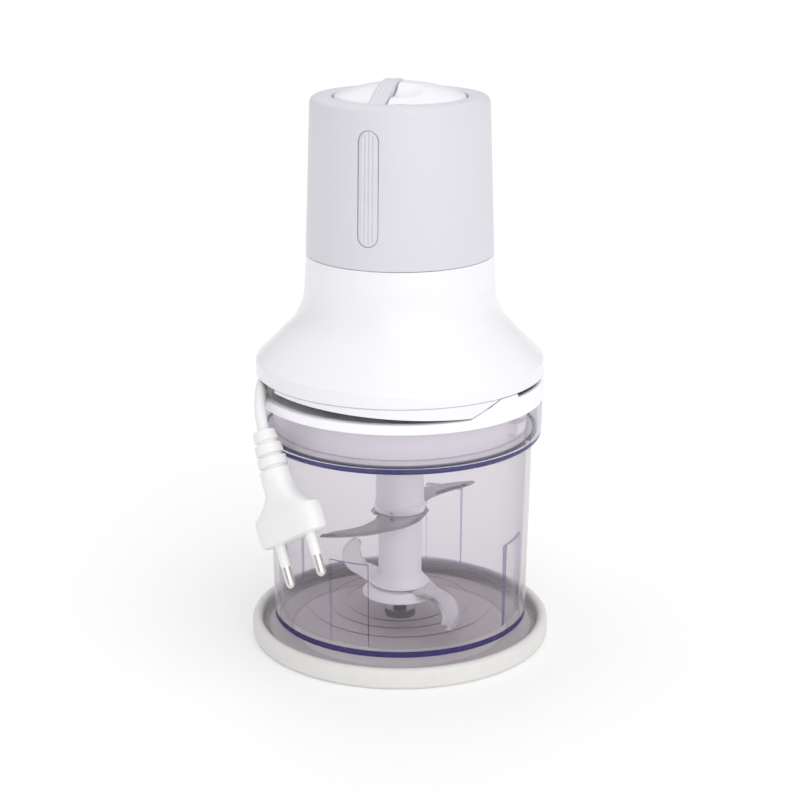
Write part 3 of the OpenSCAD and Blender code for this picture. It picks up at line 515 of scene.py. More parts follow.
def shade(colour, share):
    """A colour made darker or lighter by a share."""
    return tuple(min(1.0, c * share) for c in colour)


def moulded(name, colour, roughness, grain=0.0004, relief=0.000004, mottle=0.03, coat=0.0, subsurface=0.0):
    """Moulded plastic: slow flow marks, fine grain and small changes of gloss."""
    f = Finish(name)
    flow = f.noise(0.03, 3)
    fine = f.noise(grain, 2)
    handled = f.noise(0.009, 4)
    tone = f.between(shade(colour, 1 - mottle), shade(colour, 1 + mottle * 0.4), flow)
    constants = {"IOR": 1.49, "Coat Weight": coat, "Coat Roughness": 0.22}
    if subsurface:
        constants["Subsurface Weight"] = subsurface
        constants["Subsurface Radius"] = (0.002, 0.0018, 0.0015)
    return f.done(f.surface(constants, base_color=tone,
                            roughness=roughness + (handled - 0.5) * 0.05 + (fine - 0.5) * 0.05,
                            normal=f.bump(fine + handled, relief)))


def rubbery(name, colour, roughness=0.62):
    """Soft plastic: dull, with a dusty bloom and a pebbled skin."""
    f = Finish(name)
    dust = f.noise(0.006, 5)
    pebble = f.speckle(0.0007)
    tone = f.between(shade(colour, 0.94), shade(colour, 1.03), dust)
    return f.done(f.surface({"IOR": 1.45, "Sheen Weight": 0.06, "Sheen Roughness": 0.5}, base_color=tone,
                            roughness=roughness + (dust - 0.5) * 0.16,
                            normal=f.bump(pebble, 0.00001, 0.6)))


def metallic(name, colour, roughness, stretch=(1, 1, 1), turn=(0, 0, 0), grain=0.0005, relief=0.000004):
    """Worked metal: drawn or ground lines, faint stains and changing gloss."""
    f = Finish(name)
    lines = f.noise(grain, 4, f.stretched(stretch, turn))
    stain = f.noise(0.011, 4)
    tone = f.between(shade(colour, 0.86), shade(colour, 1.06), lines * 0.6 + stain * 0.4)
    return f.done(f.surface({"Metallic": 1.0}, base_color=tone,
                            roughness=roughness + (lines - 0.5) * 0.18 + (stain - 0.5) * 0.10,
                            normal=f.bump(lines, relief)))


def blade_finish(name, colour):
    """Blade steel: straight stroke marks from the press, cloudy polish and small scuffs."""
    f = Finish(name)
    strokes = f.noise(0.0009, 5, f.stretched((0.12, 1.6, 1), (0, 0, math.radians(52))))
    scuffs = f.noise(0.0035, 6)
    cloud = f.noise(0.014, 3)
    tone = f.between(shade(colour, 0.8), shade(colour, 1.12), strokes * 0.45 + cloud * 0.55)
    return f.done(f.surface({"Metallic": 1.0}, base_color=tone,
                            roughness=0.22 + (strokes - 0.5) * 0.20 + (scuffs - 0.5) * 0.16,
                            normal=f.bump(strokes + scuffs, 0.000008)))


def see_through(name, colour, gloss=0.02):
    """Clear plastic: a tinted pass-through under a thin gloss, with faint flow marks and fine scratches."""
    f = Finish(name)
    flow = f.noise(0.02, 3)
    scratch = f.noise(0.0012, 5, f.stretched((3, 3, 0.3)))
    shine = f.surface({"Base Color": (*shade(colour, 0.5), 1), "IOR": 1.57, "Specular IOR Level": 0.8},
                      roughness=0.05 + flow * 0.04 + scratch * 0.03,
                      normal=f.bump(flow, 0.00006, 0.5))
    through = f.node("ShaderNodeBsdfTransparent", None, {"Color": (*colour, 1)})
    inner_side = f.node("ShaderNodeNewGeometry", out="Backfacing")
    mirror = f.node("ShaderNodeFresnel", None, {"IOR": CLEAR_IOR - inner_side * (CLEAR_IOR - 1 / CLEAR_IOR)})
    share = mirror * (0.9 + 0.2 * flow) + gloss
    return f.done(f.node("ShaderNodeMixShader", None, {"Fac": share, 1: through, 2: shine}))


def clear_edge_painted_shade(name, colour, cover):
    """Painted shade: clear plastic seen edge on, drawn nearly opaque and dark to stand for the look
    refraction gives it.
    """
    f = Finish(name)
    cloud = f.noise(0.004, 3)
    tone = f.between(shade(colour, 0.75), shade(colour, 1.3), cloud)
    body = f.surface({"IOR": 1.4, "Specular IOR Level": 0.3}, base_color=tone, roughness=0.2 + cloud * 0.12,
                     normal=f.bump(cloud, 0.00003))
    through = f.node("ShaderNodeBsdfTransparent", None, {"Color": (0.80, 0.79, 0.88, 1)})
    inner_side = f.node("ShaderNodeNewGeometry", out="Backfacing")
    share = (cover + (cloud - 0.5) * 0.14) * (1 - inner_side * 0.8)
    return f.done(f.node("ShaderNodeMixShader", None, {"Fac": share, 1: through, 2: body}))


def stacked(name, colour):
    """Motor laminations: dark blued sheets in a stack."""
    f = Finish(name)
    sheets = f.rings(0.0005)
    rust = f.noise(0.005, 4)
    tone = f.between(shade(colour, 0.6), shade(colour, 1.2), sheets * 0.5 + rust * 0.5)
    return f.done(f.surface({"Metallic": 0.85}, base_color=tone, roughness=0.42 + (rust - 0.5) * 0.2,
                            normal=f.bump(sheets, 0.00006)))


def wound(name, colour):
    """Enamelled copper wire laid in layers."""
    f = Finish(name)
    wires = f.rings(0.0007)
    varnish = f.noise(0.004, 3)
    tone = f.between(shade(colour, 0.45), shade(colour, 1.25), wires * 0.7 + varnish * 0.3)
    return f.done(f.surface({"Metallic": 0.9}, base_color=tone, roughness=0.26 + varnish * 0.14,
                            coat_weight=0.3 + varnish * 0.3, normal=f.bump(wires, 0.0001)))


def board(name, colour):
    """Circuit board: lacquered glass weave with pale tracks."""
    f = Finish(name)
    weave = f.node("ShaderNodeTexBrick", {"offset": 0.5}, {"Vector": f.where, "Scale": 160.0,
                   "Mortar Size": 0.08, "Color1": (0, 0, 0, 1), "Color2": (0.3, 0.3, 0.3, 1),
                   "Mortar": (1, 1, 1, 1)}, out="Fac")
    patch = f.noise(0.004, 3)
    tone = f.between(shade(colour, 0.7), shade(colour, 1.9), weave * 0.6 + patch * 0.4)
    return f.done(f.surface({"Coat Weight": 0.4}, base_color=tone, roughness=0.35 + patch * 0.15,
                            normal=f.bump(weave, 0.00005)))


FINISHES = {}


def finish_for(name):
    """The material of a slot, made once."""
    colours = bpy.context.scene.chopper_colours
    makers = {
        "white_plastic": lambda: moulded(name, colours.white, 0.26, coat=0.25, subsurface=0.08),
        "grey_plastic": lambda: moulded(name, colours.cap, 0.36, grain=0.0005, relief=0.000006),
        # Painted light: a lighter copy of the white for the hub and lid, which sit behind the clear bowl,
        # standing in for light that reaches them.
        "hub_white_painted_light": lambda: moulded(name, shade(colours.white, 1.09), 0.3, coat=0.15, subsurface=0.15),
        "inlay_grey": lambda: rubbery(name, colours.inlay, 0.5),
        "soft_grey_plastic": lambda: rubbery(name, colours.ring, 0.55),
        "clear_plastic": lambda: see_through(name, colours.clear),
        # Painted shade: nearly opaque dark bands for the bowl's ledge and foot, seen edge on.
        "clear_edge_painted_shade": lambda: clear_edge_painted_shade(name, colours.edge, 0.93),
        # Painted shade: a lighter, half-covering dark tone for the pads' sides, seen edge on.
        "clear_side_painted_shade": lambda: clear_edge_painted_shade(name, shade(colours.edge, 2.6), 0.42),
        "blade_steel": lambda: blade_finish(name, colours.steel),
        # Painted shade: a darker copy of the blade steel for the upper blade, standing in for the darker
        # reflections it shows.
        "blade_painted_shade": lambda: blade_finish(name, shade(colours.steel, 0.72)),
        # Painted light: a lighter copy of the ring's grey for its floor under the bowl, standing in for light
        # that the bowl keeps from it.
        "ring_floor_painted_light": lambda: moulded(name, shade(colours.ring, 1.26), 0.5),
        "polished_steel": lambda: metallic(name, colours.steel, 0.16, (1, 1, 8)),
        "spring_steel": lambda: metallic(name, (0.5, 0.5, 0.52), 0.28, (1, 1, 3)),
        "zinc_steel": lambda: metallic(name, (0.58, 0.59, 0.62), 0.34, (1, 1, 1), grain=0.002),
        "lamination": lambda: stacked(name, (0.20, 0.21, 0.23)),
        "pin_metal": lambda: metallic(name, (0.72, 0.71, 0.69), 0.14, (1, 1, 5)),
        "cord_white": lambda: moulded(name, colours.cord, 0.40, grain=0.0006, relief=0.00001, mottle=0.05),
        "seal_rubber": lambda: rubbery(name, (0.76, 0.76, 0.78), 0.5),
        "dark_nylon": lambda: moulded(name, (0.035, 0.035, 0.04), 0.42, mottle=0.2),
        "dark_plastic": lambda: moulded(name, (0.10, 0.10, 0.11), 0.48, mottle=0.12),
        "black_plastic": lambda: moulded(name, (0.015, 0.015, 0.016), 0.40, mottle=0.2),
        "ivory_nylon": lambda: moulded(name, (0.72, 0.66, 0.50), 0.38, mottle=0.08, subsurface=0.1),
        "sintered_bronze": lambda: metallic(name, (0.42, 0.28, 0.14), 0.46, grain=0.0004, relief=0.00002),
        "brass": lambda: metallic(name, (0.62, 0.44, 0.16), 0.26, (1, 1, 4)),
        "copper_wire": lambda: wound(name, (0.55, 0.20, 0.07)),
        "copper_bar": lambda: metallic(name, (0.68, 0.30, 0.14), 0.24, (6, 6, 0.4)),
        "carbon": lambda: moulded(name, (0.02, 0.02, 0.02), 0.56, grain=0.0003, relief=0.00001, mottle=0.3),
        "board_green": lambda: board(name, (0.02, 0.12, 0.05)),
        "capacitor_yellow": lambda: moulded(name, (0.66, 0.42, 0.02), 0.30, mottle=0.06, coat=0.3),
        "wire_blue": lambda: moulded(name, (0.03, 0.10, 0.36), 0.38, mottle=0.1),
    }
    if name not in FINISHES:
        FINISHES[name] = makers[name]()
    return FINISHES[name]


def hand_over(piece, body, nodes, slot, finish=None):
    """Gives a new piece its finish, its body and the CAD nodes that it stands for."""
    if finish:
        piece.data.materials.clear()
    if not piece.data.materials:
        piece.data.materials.append(finish_for(finish or slot))
    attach(piece, body)
    if nodes:
        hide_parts(*nodes)
    return piece


# ---------- pieces ----------


class CHOPPER_OT_stage(bpy.types.Operator):
    """Camera, soft lights and a plain pale floor"""
    bl_idname = "chopper.stage"
    bl_label = "Stage"

    def execute(self, context):
        scene = context.scene
        deselect()
        bpy.ops.object.camera_add(location=CAMERA_AT, rotation=(math.radians(90 - CAMERA_DOWN), 0, 0))
        camera = context.object
        camera.name = "camera"
        camera.data.lens = CAMERA_LENS
        camera.data.sensor_width = 36
        camera.data.clip_start = 0.01
        scene.camera = camera
        scene.view_settings.view_transform = "Standard"

        f = Finish("studio", "worlds")
        height = f.node("ShaderNodeSeparateXYZ", None, {0: f.where}, out="Z")
        share = f.node("ShaderNodeMapRange", {"interpolation_type": "SMOOTHSTEP"},
                       {"Value": height, "From Min": 0.15, "From Max": 0.85})
        sky = f.between((0.69, 0.69, 0.70), (1.0, 1.0, 1.0), share)
        scene.world = f.done(f.node("ShaderNodeBackground", None, {"Color": sky, "Strength": 0.86}))

        deselect()
        bpy.ops.mesh.primitive_plane_add(size=40)
        floor = context.object
        floor.name = floor.data.name = "floor"
        f = Finish("floor_white")
        cloud = f.noise(0.3, 2)
        tone = f.between((0.91, 0.91, 0.91), (0.93, 0.93, 0.93), cloud)
        floor.data.materials.append(f.done(f.surface(
            {"Emission Color": (1, 1, 1, 1), "Emission Strength": 0.07}, base_color=tone,
            roughness=0.45 + cloud * 0.1)))

        lamps = (  # name, direction towards the lamp, strength, spread in degrees, colour
            ("key_light", (0.55, -0.75, 1.0), 0.6, 75, (1.0, 0.995, 1.0)),
            ("front_light", (0.3, -1.0, 0.28), 0.75, 60, (1.0, 0.99, 1.0)),
            ("back_light", (-0.3, 0.6, 1.0), 0.3, 90, (0.95, 0.97, 1.0)),
        )
        for name, towards, strength, spread, colour in lamps:
            deselect()
            bpy.ops.object.light_add(type="SUN", location=towards)
            lamp = context.object
            lamp.name = name
            lamp.data.energy = strength
            lamp.data.angle = math.radians(spread)
            lamp.data.color = colour
            lamp.rotation_euler = (-Vector(towards)).to_track_quat("-Z", "Y").to_euler()
        return {"FINISHED"}


def coil_points():
    """Points of the wound lead, in millimetres: out of the gland and round in two layers."""
    inner, outer = 47.3, 52.7
    bottom, top = COIL_LOW, COIL_LOW + CORD_D
    start = 36.0
    stages = (  # angle, radius and height at the end of each stretch
        (start, 44.6, bottom), (start + 40, inner, bottom), (start + 330, inner, bottom),
        (start + 390, inner, top), (start + 690, inner, top), (start + 750, outer, top),
        (start + 890, outer, top), (start + 950, outer, bottom), (start + 1199, outer, bottom),
    )
    points = []
    for (a0, r0, z0), (a1, r1, z1) in zip(stages, stages[1:]):
        count = max(3, round((a1 - a0) / 15))
        for k in range(count):
            share = k / count
            ease = share * share * (3 - 2 * share)
            a = math.radians(a0 + (a1 - a0) * share)
            r = r0 + (r1 - r0) * ease
            points.append(Vector((r * math.cos(a), r * math.sin(a), z0 + (z1 - z0) * ease)))
    return points


class CHOPPER_OT_lead(bpy.types.Operator):
    """Mains lead wound under the housing, its strain relief and the two-pin plug"""
    bl_idname = "chopper.lead"
    bl_label = "Lead and Plug"

    def execute(self, context):
        sizes = context.scene.chopper_sizes
        relief = self.strain_relief()
        plug = self.plug_body()
        pins, sleeves = self.pins()
        points = coil_points() + [Vector(p) for p in CORD_ROUTE]
        points.append(Vector(CORD_ROUTE[-1]) + PLUG_DIR * 1.5)
        deselect()
        curve = bpy.data.curves.new("mains_lead", "CURVE")
        curve.dimensions = "3D"
        curve.bevel_depth = sizes.cord_width / 2
        curve.bevel_resolution = 6
        curve.resolution_u = 3
        curve.use_fill_caps = True
        spline = curve.splines.new("POLY")
        spline.points.add(len(points) - 1)
        for spot, point in zip(spline.points, points):
            spot.co = (*(point * MM), 1)
        spline.use_smooth = True
        lead = bpy.data.objects.new("mains_lead", curve)
        context.collection.objects.link(lead)
        hand_over(lead, "motor_unit", ["cord_coil", "cord_tail"], "cord_white")
        return {"FINISHED"}

    def strain_relief(self):
        """Stepped collars that widen towards the plug."""
        corners = [(0, 0.3), (4.8, 0.3, 0.8), (5.4, 4.9, 0.5), (4.4, 5.3, 0.3), (4.4, 6.3, 0.3),
                   (5.8, 6.6, 0.5), (6.1, 10.9, 0.5), (4.8, 11.2, 0.3), (4.8, 12.1, 0.3),
                   (6.3, 12.4, 0.5), (6.6, 16.3, 0.5), (5.4, 16.6, 0.3), (5.4, 17.6, 0.3),
                   (6.7, 17.9, 0.4), (6.7, RELIEF_L + 0.3, 0.2), (0, RELIEF_L + 0.3)]
        piece = lathe("plug_relief", corners, closed=False)
        piece = place(piece, aimed(CORD_ROUTE[-1], PLUG_DIR, PLUG_SIDE))
        return hand_over(piece, "motor_unit", ["strain_relief"], "cord_white")

    def plug_body(self):
        """Flat body that widens in two hollow shoulders and ends in a rounded block."""
        half = PLUG_W / 2
        # distance along the plug, half width, half thickness
        sections = ((0.0, 6.6, 6.4), (2.6, 6.6, 6.1), (6.0, 7.1, 5.6), (9.5, 9.6, 5.5), (12.5, 13.6, 5.7),
                    (14.6, half - 0.5, 6.1), (15.6, half - 0.4, 6.3), (16.2, half, 6.3),
                    (24.6, half - 0.2, 6.3), (26.4, half - 0.8, 5.9), (PLUG_L, half - 2.2, 4.6))
        count = 64

        def outline(width, thick, k):
            a = 2 * math.pi * k / count
            power = 0.42 if width > 8 else 0.8
            x = math.copysign(abs(math.cos(a)) ** power, math.cos(a)) * width
            y = math.copysign(abs(math.sin(a)) ** 0.8, math.sin(a)) * thick
            return x, y

        deselect()
        bpy.ops.mesh.primitive_cylinder_add(vertices=count, radius=1, depth=1, end_fill_type="NGON")
        piece = context_object("plug_shell")
        bpy.ops.object.mode_set(mode="EDIT")
        bpy.ops.mesh.select_all(action="SELECT")
        bpy.ops.mesh.delete(type="VERT")
        bpy.ops.mesh.primitive_circle_add(vertices=count, radius=1, fill_type="NOTHING")
        for _ in sections[1:]:
            bpy.ops.mesh.extrude_region_move(TRANSFORM_OT_translate={"value": (0, 0, 1)})
        bpy.ops.mesh.select_all(action="SELECT")
        bpy.ops.mesh.fill_holes(sides=0)
        bpy.ops.object.mode_set(mode="OBJECT")
        for vertex in piece.data.vertices:
            at, width, thick = sections[round(vertex.co.z)]
            k = math.atan2(vertex.co.y, vertex.co.x) / 2 / math.pi * count
            x, y = outline(width, thick, k)
            vertex.co = Vector((x, y, at)) * MM
        bpy.ops.object.mode_set(mode="EDIT")
        settle(piece, 38)
        piece = place(piece, aimed(Vector(CORD_ROUTE[-1]) + PLUG_DIR * RELIEF_L, PLUG_DIR, PLUG_SIDE))
        return hand_over(piece, "motor_unit", ["plug_body"], "cord_white")

    def pins(self):
        """Two round pins with white insulating sleeves at their roots."""
        metal = [(0, -4), (2.0, -4), (2.0, PIN_L - 1.4, 1.2), (0.9, PIN_L, 0.8), (0, PIN_L)]
        sleeve = [(1.95, -3), (2.15, -3), (2.12, 9.6, 0.2), (1.95, 9.8)]
        made = []
        base = Vector(CORD_ROUTE[-1]) + PLUG_DIR * (RELIEF_L + PLUG_L)
        across = aimed((0, 0, 0), PLUG_DIR, PLUG_SIDE).to_3x3() @ Vector((1, 0, 0))
        for name, corners, closed, nodes, slot in (
                ("plug_prongs", metal, False, ["plug_pins"], "pin_metal"),
                ("pin_sleeves", sleeve, True, [], "cord_white")):
            first = lathe(name, corners, closed=closed)
            other = twin(first, name + "_other", Matrix.Identity(4))
            place(first, aimed(base - across * PIN_GAP / 2, PLUG_DIR, PLUG_SIDE))
            place(other, aimed(base + across * PIN_GAP / 2, PLUG_DIR, PLUG_SIDE))
            made.append(hand_over(join(first, other), "motor_unit", nodes, slot))
        return made


def context_object(name):
    """The active object, named."""
    piece = bpy.context.object
    piece.name = piece.data.name = name
    return piece


def join(first, *others):
    """Joins pieces into the first."""
    deselect()
    for piece in (first, *others):
        piece.select_set(True)
    bpy.context.view_layer.objects.active = first
    bpy.ops.object.join()
    return first


class CHOPPER_OT_ring(bpy.types.Operator):
    """Non-slip ring that the bowl stands in"""
    bl_idname = "chopper.ring"
    bl_label = "Non-slip Ring"

    def execute(self, context):
        outer = reach("non_slip_ring")
        top = high("non_slip_ring")
        inner = outer - 4.7
        piece = lathe("ring_body", [
            (0, 0.6), (48, 0.6, 0.3), (49, 0, 0.3), (outer - 1.2, 0, 1.0), (outer, 1.6, 1.2),
            (outer, top, 2.2),
            (inner, top, 2.2), (inner, 3, 0.5), (50, 3, 0.4), (49, 2.2, 0.4), (0, 2.2)], closed=False)
        piece.data.materials.append(finish_for("soft_grey_plastic"))
        # Painted light: the ring's upward floor faces take the lighter copy of its grey.
        piece.data.materials.append(finish_for("ring_floor_painted_light"))
        for face in piece.data.polygons:
            if face.normal.z > 0.5 and face.center.z < 2.6 * MM:
                face.material_index = 1
        hand_over(piece, "ring", ["non_slip_ring"], "soft_grey_plastic")
        return {"FINISHED"}


class CHOPPER_OT_bowl(bpy.types.Operator):
    """Clear bowl with its foot, wall pads and collar"""
    bl_idname = "chopper.bowl"
    bl_label = "Bowl"

    def execute(self, context):
        foot = low("bowl")
        corners = [(0, 9.2), (3, 9.2), (3, 20.8, 0.3), (7, 20.8, 0.5), (7, FLOOR, 0.4)]
        for r in (24, 32, 42):
            corners += [(r, FLOOR, 0.2), (r + 0.1, FLOOR + 0.7, 0.25), (r + 0.7, FLOOR + 0.7, 0.25),
                        (r + 0.8, FLOOR, 0.2)]
        corners += [
            (55.2, FLOOR, 1.4), (57.1, LEDGE - 0.3, 0.5), (57.9, LEDGE, 0.4), (61.5, LEDGE, 0.5),
            (61.5, COLLAR_TOP - 0.6, 0.2), (61.8, COLLAR_TOP, 0.25), (COLLAR_R, COLLAR_TOP, 0.5),
            (COLLAR_R, LEDGE + 4, 0.8), (63.2, LEDGE + 0.5), (63.1, LEDGE - 1.1, 0.7),
            (62.2, LEDGE - 2.2, 0.6), (59.26, LEDGE - 2.2, 0.6), (57.6, 13.4), (57.54, 10.6),
            (57.5, 8.6, 0.5), (58.1, 8, 0.4), (61.8, 8, 0.4), (62.8, 7, 0.5), (62.8, foot, 0.5),
            (60.6, foot, 0.5), (60.6, 5.6, 0.4), (55.3, 5.6, 0.4), (55.3, 11, 0.6),
            (7, 11, 0.4), (7, 7.2, 0.3), (0, 7.2)]
        shell = lathe("bowl_shell", corners, closed=False, angle=40)
        pads = [lathe(f"pad_{n}", [
            (53.9, FLOOR - 0.6), (53.9, 51.2, 0.6), (54.6, 52.2, 0.4), (56.4, 52.2), (56.2, FLOOR - 0.6)],
            az=az - 9.5, turn=19) for n, az in enumerate(PAD_AZ)]
        rib = lathe("key_rib", [
            (59.4, 97.7), (59.4, 109.4, 0.5), (59.9, 110.2, 0.3), (61.9, 110.2), (61.9, 97.7)],
            az=66, turn=2)
        added = join(*pads, rib)
        modify(shell, "BOOLEAN", object=added, operation="UNION", solver="EXACT")
        remove(added)
        smooth(shell, 40)
        shell.data.materials.append(finish_for("clear_plastic"))
        shell.data.materials.append(finish_for("clear_edge_painted_shade"))
        shell.data.materials.append(finish_for("clear_side_painted_shade"))
        for face in shell.data.polygons:
            z = face.center.z / MM
            r = face.center.xy.length / MM
            out = face.center.xy.normalized().dot(face.normal.xy)
            face.material_index = 0
            # Painted shade: faces at the ledge and the foot's outer step take the dark edge-on finish.
            if r > 58.5 and LEDGE - 2.4 < z < LEDGE + 0.5 or r > 57.3 and 10.6 < z < 13.4 and out > 0.5:
                face.material_index = 1
            # Painted shade: the pads' sides take the lighter edge-on finish.
            elif 53.5 < r < 56.3 and 14 < z < 52.5 and out > -0.9 and out < 0.5:
                face.material_index = 2
        hand_over(shell, "bowl", ["bowl"], "clear_plastic")
        return {"FINISHED"}


def arc(cx, cy, r, a0, a1, n):
    """Points of an arc in the plane."""
    return [(cx + r * math.cos(math.radians(a0 + (a1 - a0) * i / n)),
             cy + r * math.sin(math.radians(a0 + (a1 - a0) * i / n))) for i in range(n + 1)]


def smooth_line(points, rounds=2):
    """Cuts the corners of an open line, keeping its ends."""
    for _ in range(rounds):
        line = [points[0]]
        for (ax, ay), (bx, by) in zip(points, points[1:]):
            line += [(0.75 * ax + 0.25 * bx, 0.75 * ay + 0.25 * by),
                     (0.25 * ax + 0.75 * bx, 0.25 * ay + 0.75 * by)]
        points = line + [points[-1]]
    return points


class CHOPPER_OT_blades(bpy.types.Operator):
    """Blade set: bell, column, sleeve and the two steel blades"""
    bl_idname = "chopper.blades"
    bl_label = "Blade Set"

    def execute(self, context):
        sizes = context.scene.chopper_sizes
        thick = high("lower_blade") - low("lower_blade")
        lower, upper = LOWER_BLADE, UPPER_BLADE
        # The hub's pieces take the lighter white with painted light.
        foot = lathe("hub_bell", [
            (8, lower - 4.6), (17.3, lower - 4.6, 0.4), (17.3, lower - 3.8, 0.4), (15.3, lower - 1.8, 0.8),
            (14.4, lower - thick / 2, 0.2), (8, lower - thick / 2)])
        hand_over(foot, "blade", ["blade_foot"], "white_plastic", "hub_white_painted_light")
        column = lathe("hub_column", [
            (5, lower + thick / 2), (13.9, lower + thick / 2, 0.3), (12.4, lower + 1.4, 0.8),
            (9.9, lower + 5.2, 3.0), (9.9, upper - thick / 2, 0.3), (5, upper - thick / 2)])
        hand_over(column, "blade", ["blade_hub"], "white_plastic", "hub_white_painted_light")
        top = high("blade_sleeve")
        sleeve = lathe("hub_sleeve", [
            (5, upper + thick / 2), (11.5, upper + thick / 2, 0.3), (11.5, upper + 4, 0.4),
            (10.9, upper + 4.6, 0.4), (10.9, top, 1.0), (8.5, top, 0.4), (8.5, 86.4), (5, 86.4)])
        rivet = self.rivets(upper)
        modify(sleeve, "BOOLEAN", object=rivet, operation="DIFFERENCE", solver="EXACT")
        remove(rivet)
        hand_over(sleeve, "blade", ["blade_sleeve"], "white_plastic", "hub_white_painted_light")

        low_arm = (smooth_line([(9, 6), (12.5, 2), (16.5, -4)], 1)[1:-1] + arc(3.5, -27, 24.2, 50, -33, 14)
                   + smooth_line([(23.2, -41.4), (20.6, -43.4), (18.4, -39), (19.5, -33), (18.4, -27),
                                  (15.6, -21.6), (11.5, -17.5), (5, -12.7)], 2))
        high_arm = (smooth_line([(10.1, 6.2), (12, 5), (13.8, -1.3)], 1)[1:-1]
                    + arc(-19, 1, 31.4, -19, -62, 8)[1:]
                    + smooth_line([(-4.5, -26.9), (-12, -31.4), (-21.4, -34), (-30.7, -34.7), (-36.8, -33.9),
                                   (-30.9, -28.4), (-25.3, -26.2), (-19.2, -22.8), (-14.6, -17.4),
                                   (-11.3, -11.2), (-10.3, -7)], 2)[1:])
        low_bend = math.degrees(math.atan2(sizes.lower_bend / MM, LOWER_FOLD_REACH))
        up_bend = math.degrees(math.atan2(sizes.upper_bend / MM, UPPER_FOLD_REACH))
        pieces = (
            ("lower_knife", low_arm, lower, "lower_blade", "blade_steel", (
                ((13, -13), (1, 1, 0), -1, -low_bend / 2), ((16, -18), (1, 0.8, 0), -1, -low_bend / 2),
                ((-13, 13), (1, 1, 0), 1, low_bend / 2), ((-16, 18), (1, 0.8, 0), 1, low_bend / 2))),
            # Painted shade: the upper blade takes the darker copy of the steel.
            ("upper_knife", high_arm, upper, "upper_blade", "blade_painted_shade", (
                ((14, 24), (1, -1, 0), 1, up_bend / 2), ((18, 27), (1, -1, 0), 1, up_bend / 2))),
        )
        for name, arm, z, node, finish, bends in pieces:
            outline = [(x, y) for x, y in arm] + [(-x, -y) for x, y in arm]
            knife = blade_sheet(name, outline, z, thick, sizes.blade_grind, bends)
            hand_over(knife, "blade", [node], "blade_steel", finish)
        return {"FINISHED"}

    def rivets(self, upper):
        """Cutter for the two small holes in the sleeve's band."""
        cutters = []
        for n, az in enumerate((-20, 160)):
            deselect()
            bpy.ops.mesh.primitive_cylinder_add(vertices=24, radius=0.9 * MM, depth=3 * MM)
            cutter = context_object(f"rivet_{n}")
            bpy.ops.object.mode_set(mode="EDIT")
            bpy.ops.mesh.select_all(action="SELECT")
            bpy.ops.mesh.bevel(offset=0.1 * MM)
            bpy.ops.object.mode_set(mode="OBJECT")
            spot = facing(az, 11.2, upper + 2) / MM
            cutters.append(place(cutter, aimed(spot, Vector((spot.x, spot.y, 0)), Vector((0, 0, 1)))))
        return join(*cutters)


class CHOPPER_OT_lid(bpy.types.Operator):
    """Lid with its rim, well, locating tab and bayonet lugs"""
    bl_idname = "chopper.lid"
    bl_label = "Lid"

    def execute(self, context):
        lid_in = low("bowl_lid")
        top = high("bowl_lid")
        seat = COLLAR_TOP + 0.05
        shell = lathe("lid_shell", [
            (11.9, lid_in + 1, 0.3), (39, lid_in + 1, 0.8), (39, seat, 0.8), (54.7, seat, 0.8),
            (54.7, lid_in, 0.4), (56.7, lid_in, 0.6), (56.7, seat, 0.4), (RIM_R, seat, 0.5),
            (RIM_R, RIM_TOP, 0.9), (60.3, RIM_TOP, 0.5), (57.9, RIM_TOP - 2.1, 0.6),
            (38.6, RIM_TOP - 2.1, 0.6),
            (37, RIM_TOP - 3.7, 0.6), (37, 104.4, 0.8), (14.3, 104.4, 0.4), (14.3, lid_in + 3, 0.3),
            (11.9, lid_in + 3, 0.3)])
        low_part = lathe("lid_tab_low", [
            (RIM_R - 2.1, RIM_TOP - 0.9), (RIM_R - 2.1, top - 1.7, 0.4), (RIM_R, top - 1.7, 0.6),
            (RIM_R, RIM_TOP - 0.9)], az=TAB_AZ[0], turn=TAB_AZ[1] - TAB_AZ[0])
        fronts = [lathe(f"lid_tab_{az}", [
            (RIM_R - 2.1, top - 3), (RIM_R - 2.1, top, 0.4), (RIM_R, top, 0.6), (RIM_R, top - 3)],
            az=az, turn=turn) for az, turn in ((TAB_AZ[0] + 4, 20), (TAB_AZ[1] - 8, 8))]
        for part in (low_part, fronts[0]):
            cut(part, *ramp(0.0), clear_outer=True)
        lugs = []
        for az in (61, -119):
            lug = lathe(f"lid_lug_{az}", [
                (55.9, lid_in + 4), (55.9, lid_in + 9), (61.1, lid_in + 9, 0.5), (61.1, lid_in + 4, 0.5)],
                az=az - 5, turn=9)
            slant = facing(az + 2.2, 60, lid_in + 6.5)
            lugs.append(cut(lug, slant, facing(az + 90, 1, 0).normalized() * 0.86 - Vector((0, 0, 1)) * 0.5))
        lid = join(shell, low_part, *fronts, *lugs)
        # The lid takes the lighter white with painted light.
        hand_over(lid, "lid", ["bowl_lid"], "white_plastic", "hub_white_painted_light")
        return {"FINISHED"}


def ramp(lift):
    """Point and upward normal of the slope that the lid's tab rises by, lifted a little, in metres."""
    slope = math.radians(22)
    sideways = facing(TAB_AZ[0] + 90, 1, 0).normalized()
    normal = Vector((0, 0, 1)) * math.cos(slope) - sideways * math.sin(slope)
    return facing(TAB_AZ[0], RIM_R, RIM_TOP + 0.2) + normal * lift * MM, normal


def flare(t):
    """Corners of the flared housing's side, moved inwards by t, from the seam to the neck."""
    arc_r, spread = 28.7, 0.7
    cx = NECK_R + spread + arc_r
    rho = arc_r + t
    line = FLARE_R + SEAM + 6 - t * math.sqrt(2)
    cz = line - cx + rho * math.sqrt(2)
    return ([(FLARE_R - t, SEAM, 0.5), (FLARE_R - t, SEAM + 6 - 0.414 * t, 3.0)]
            + arc(cx, cz, rho, 225, 180, 16) + [(NECK_R - t, NECK - 0.15, 0.35)])


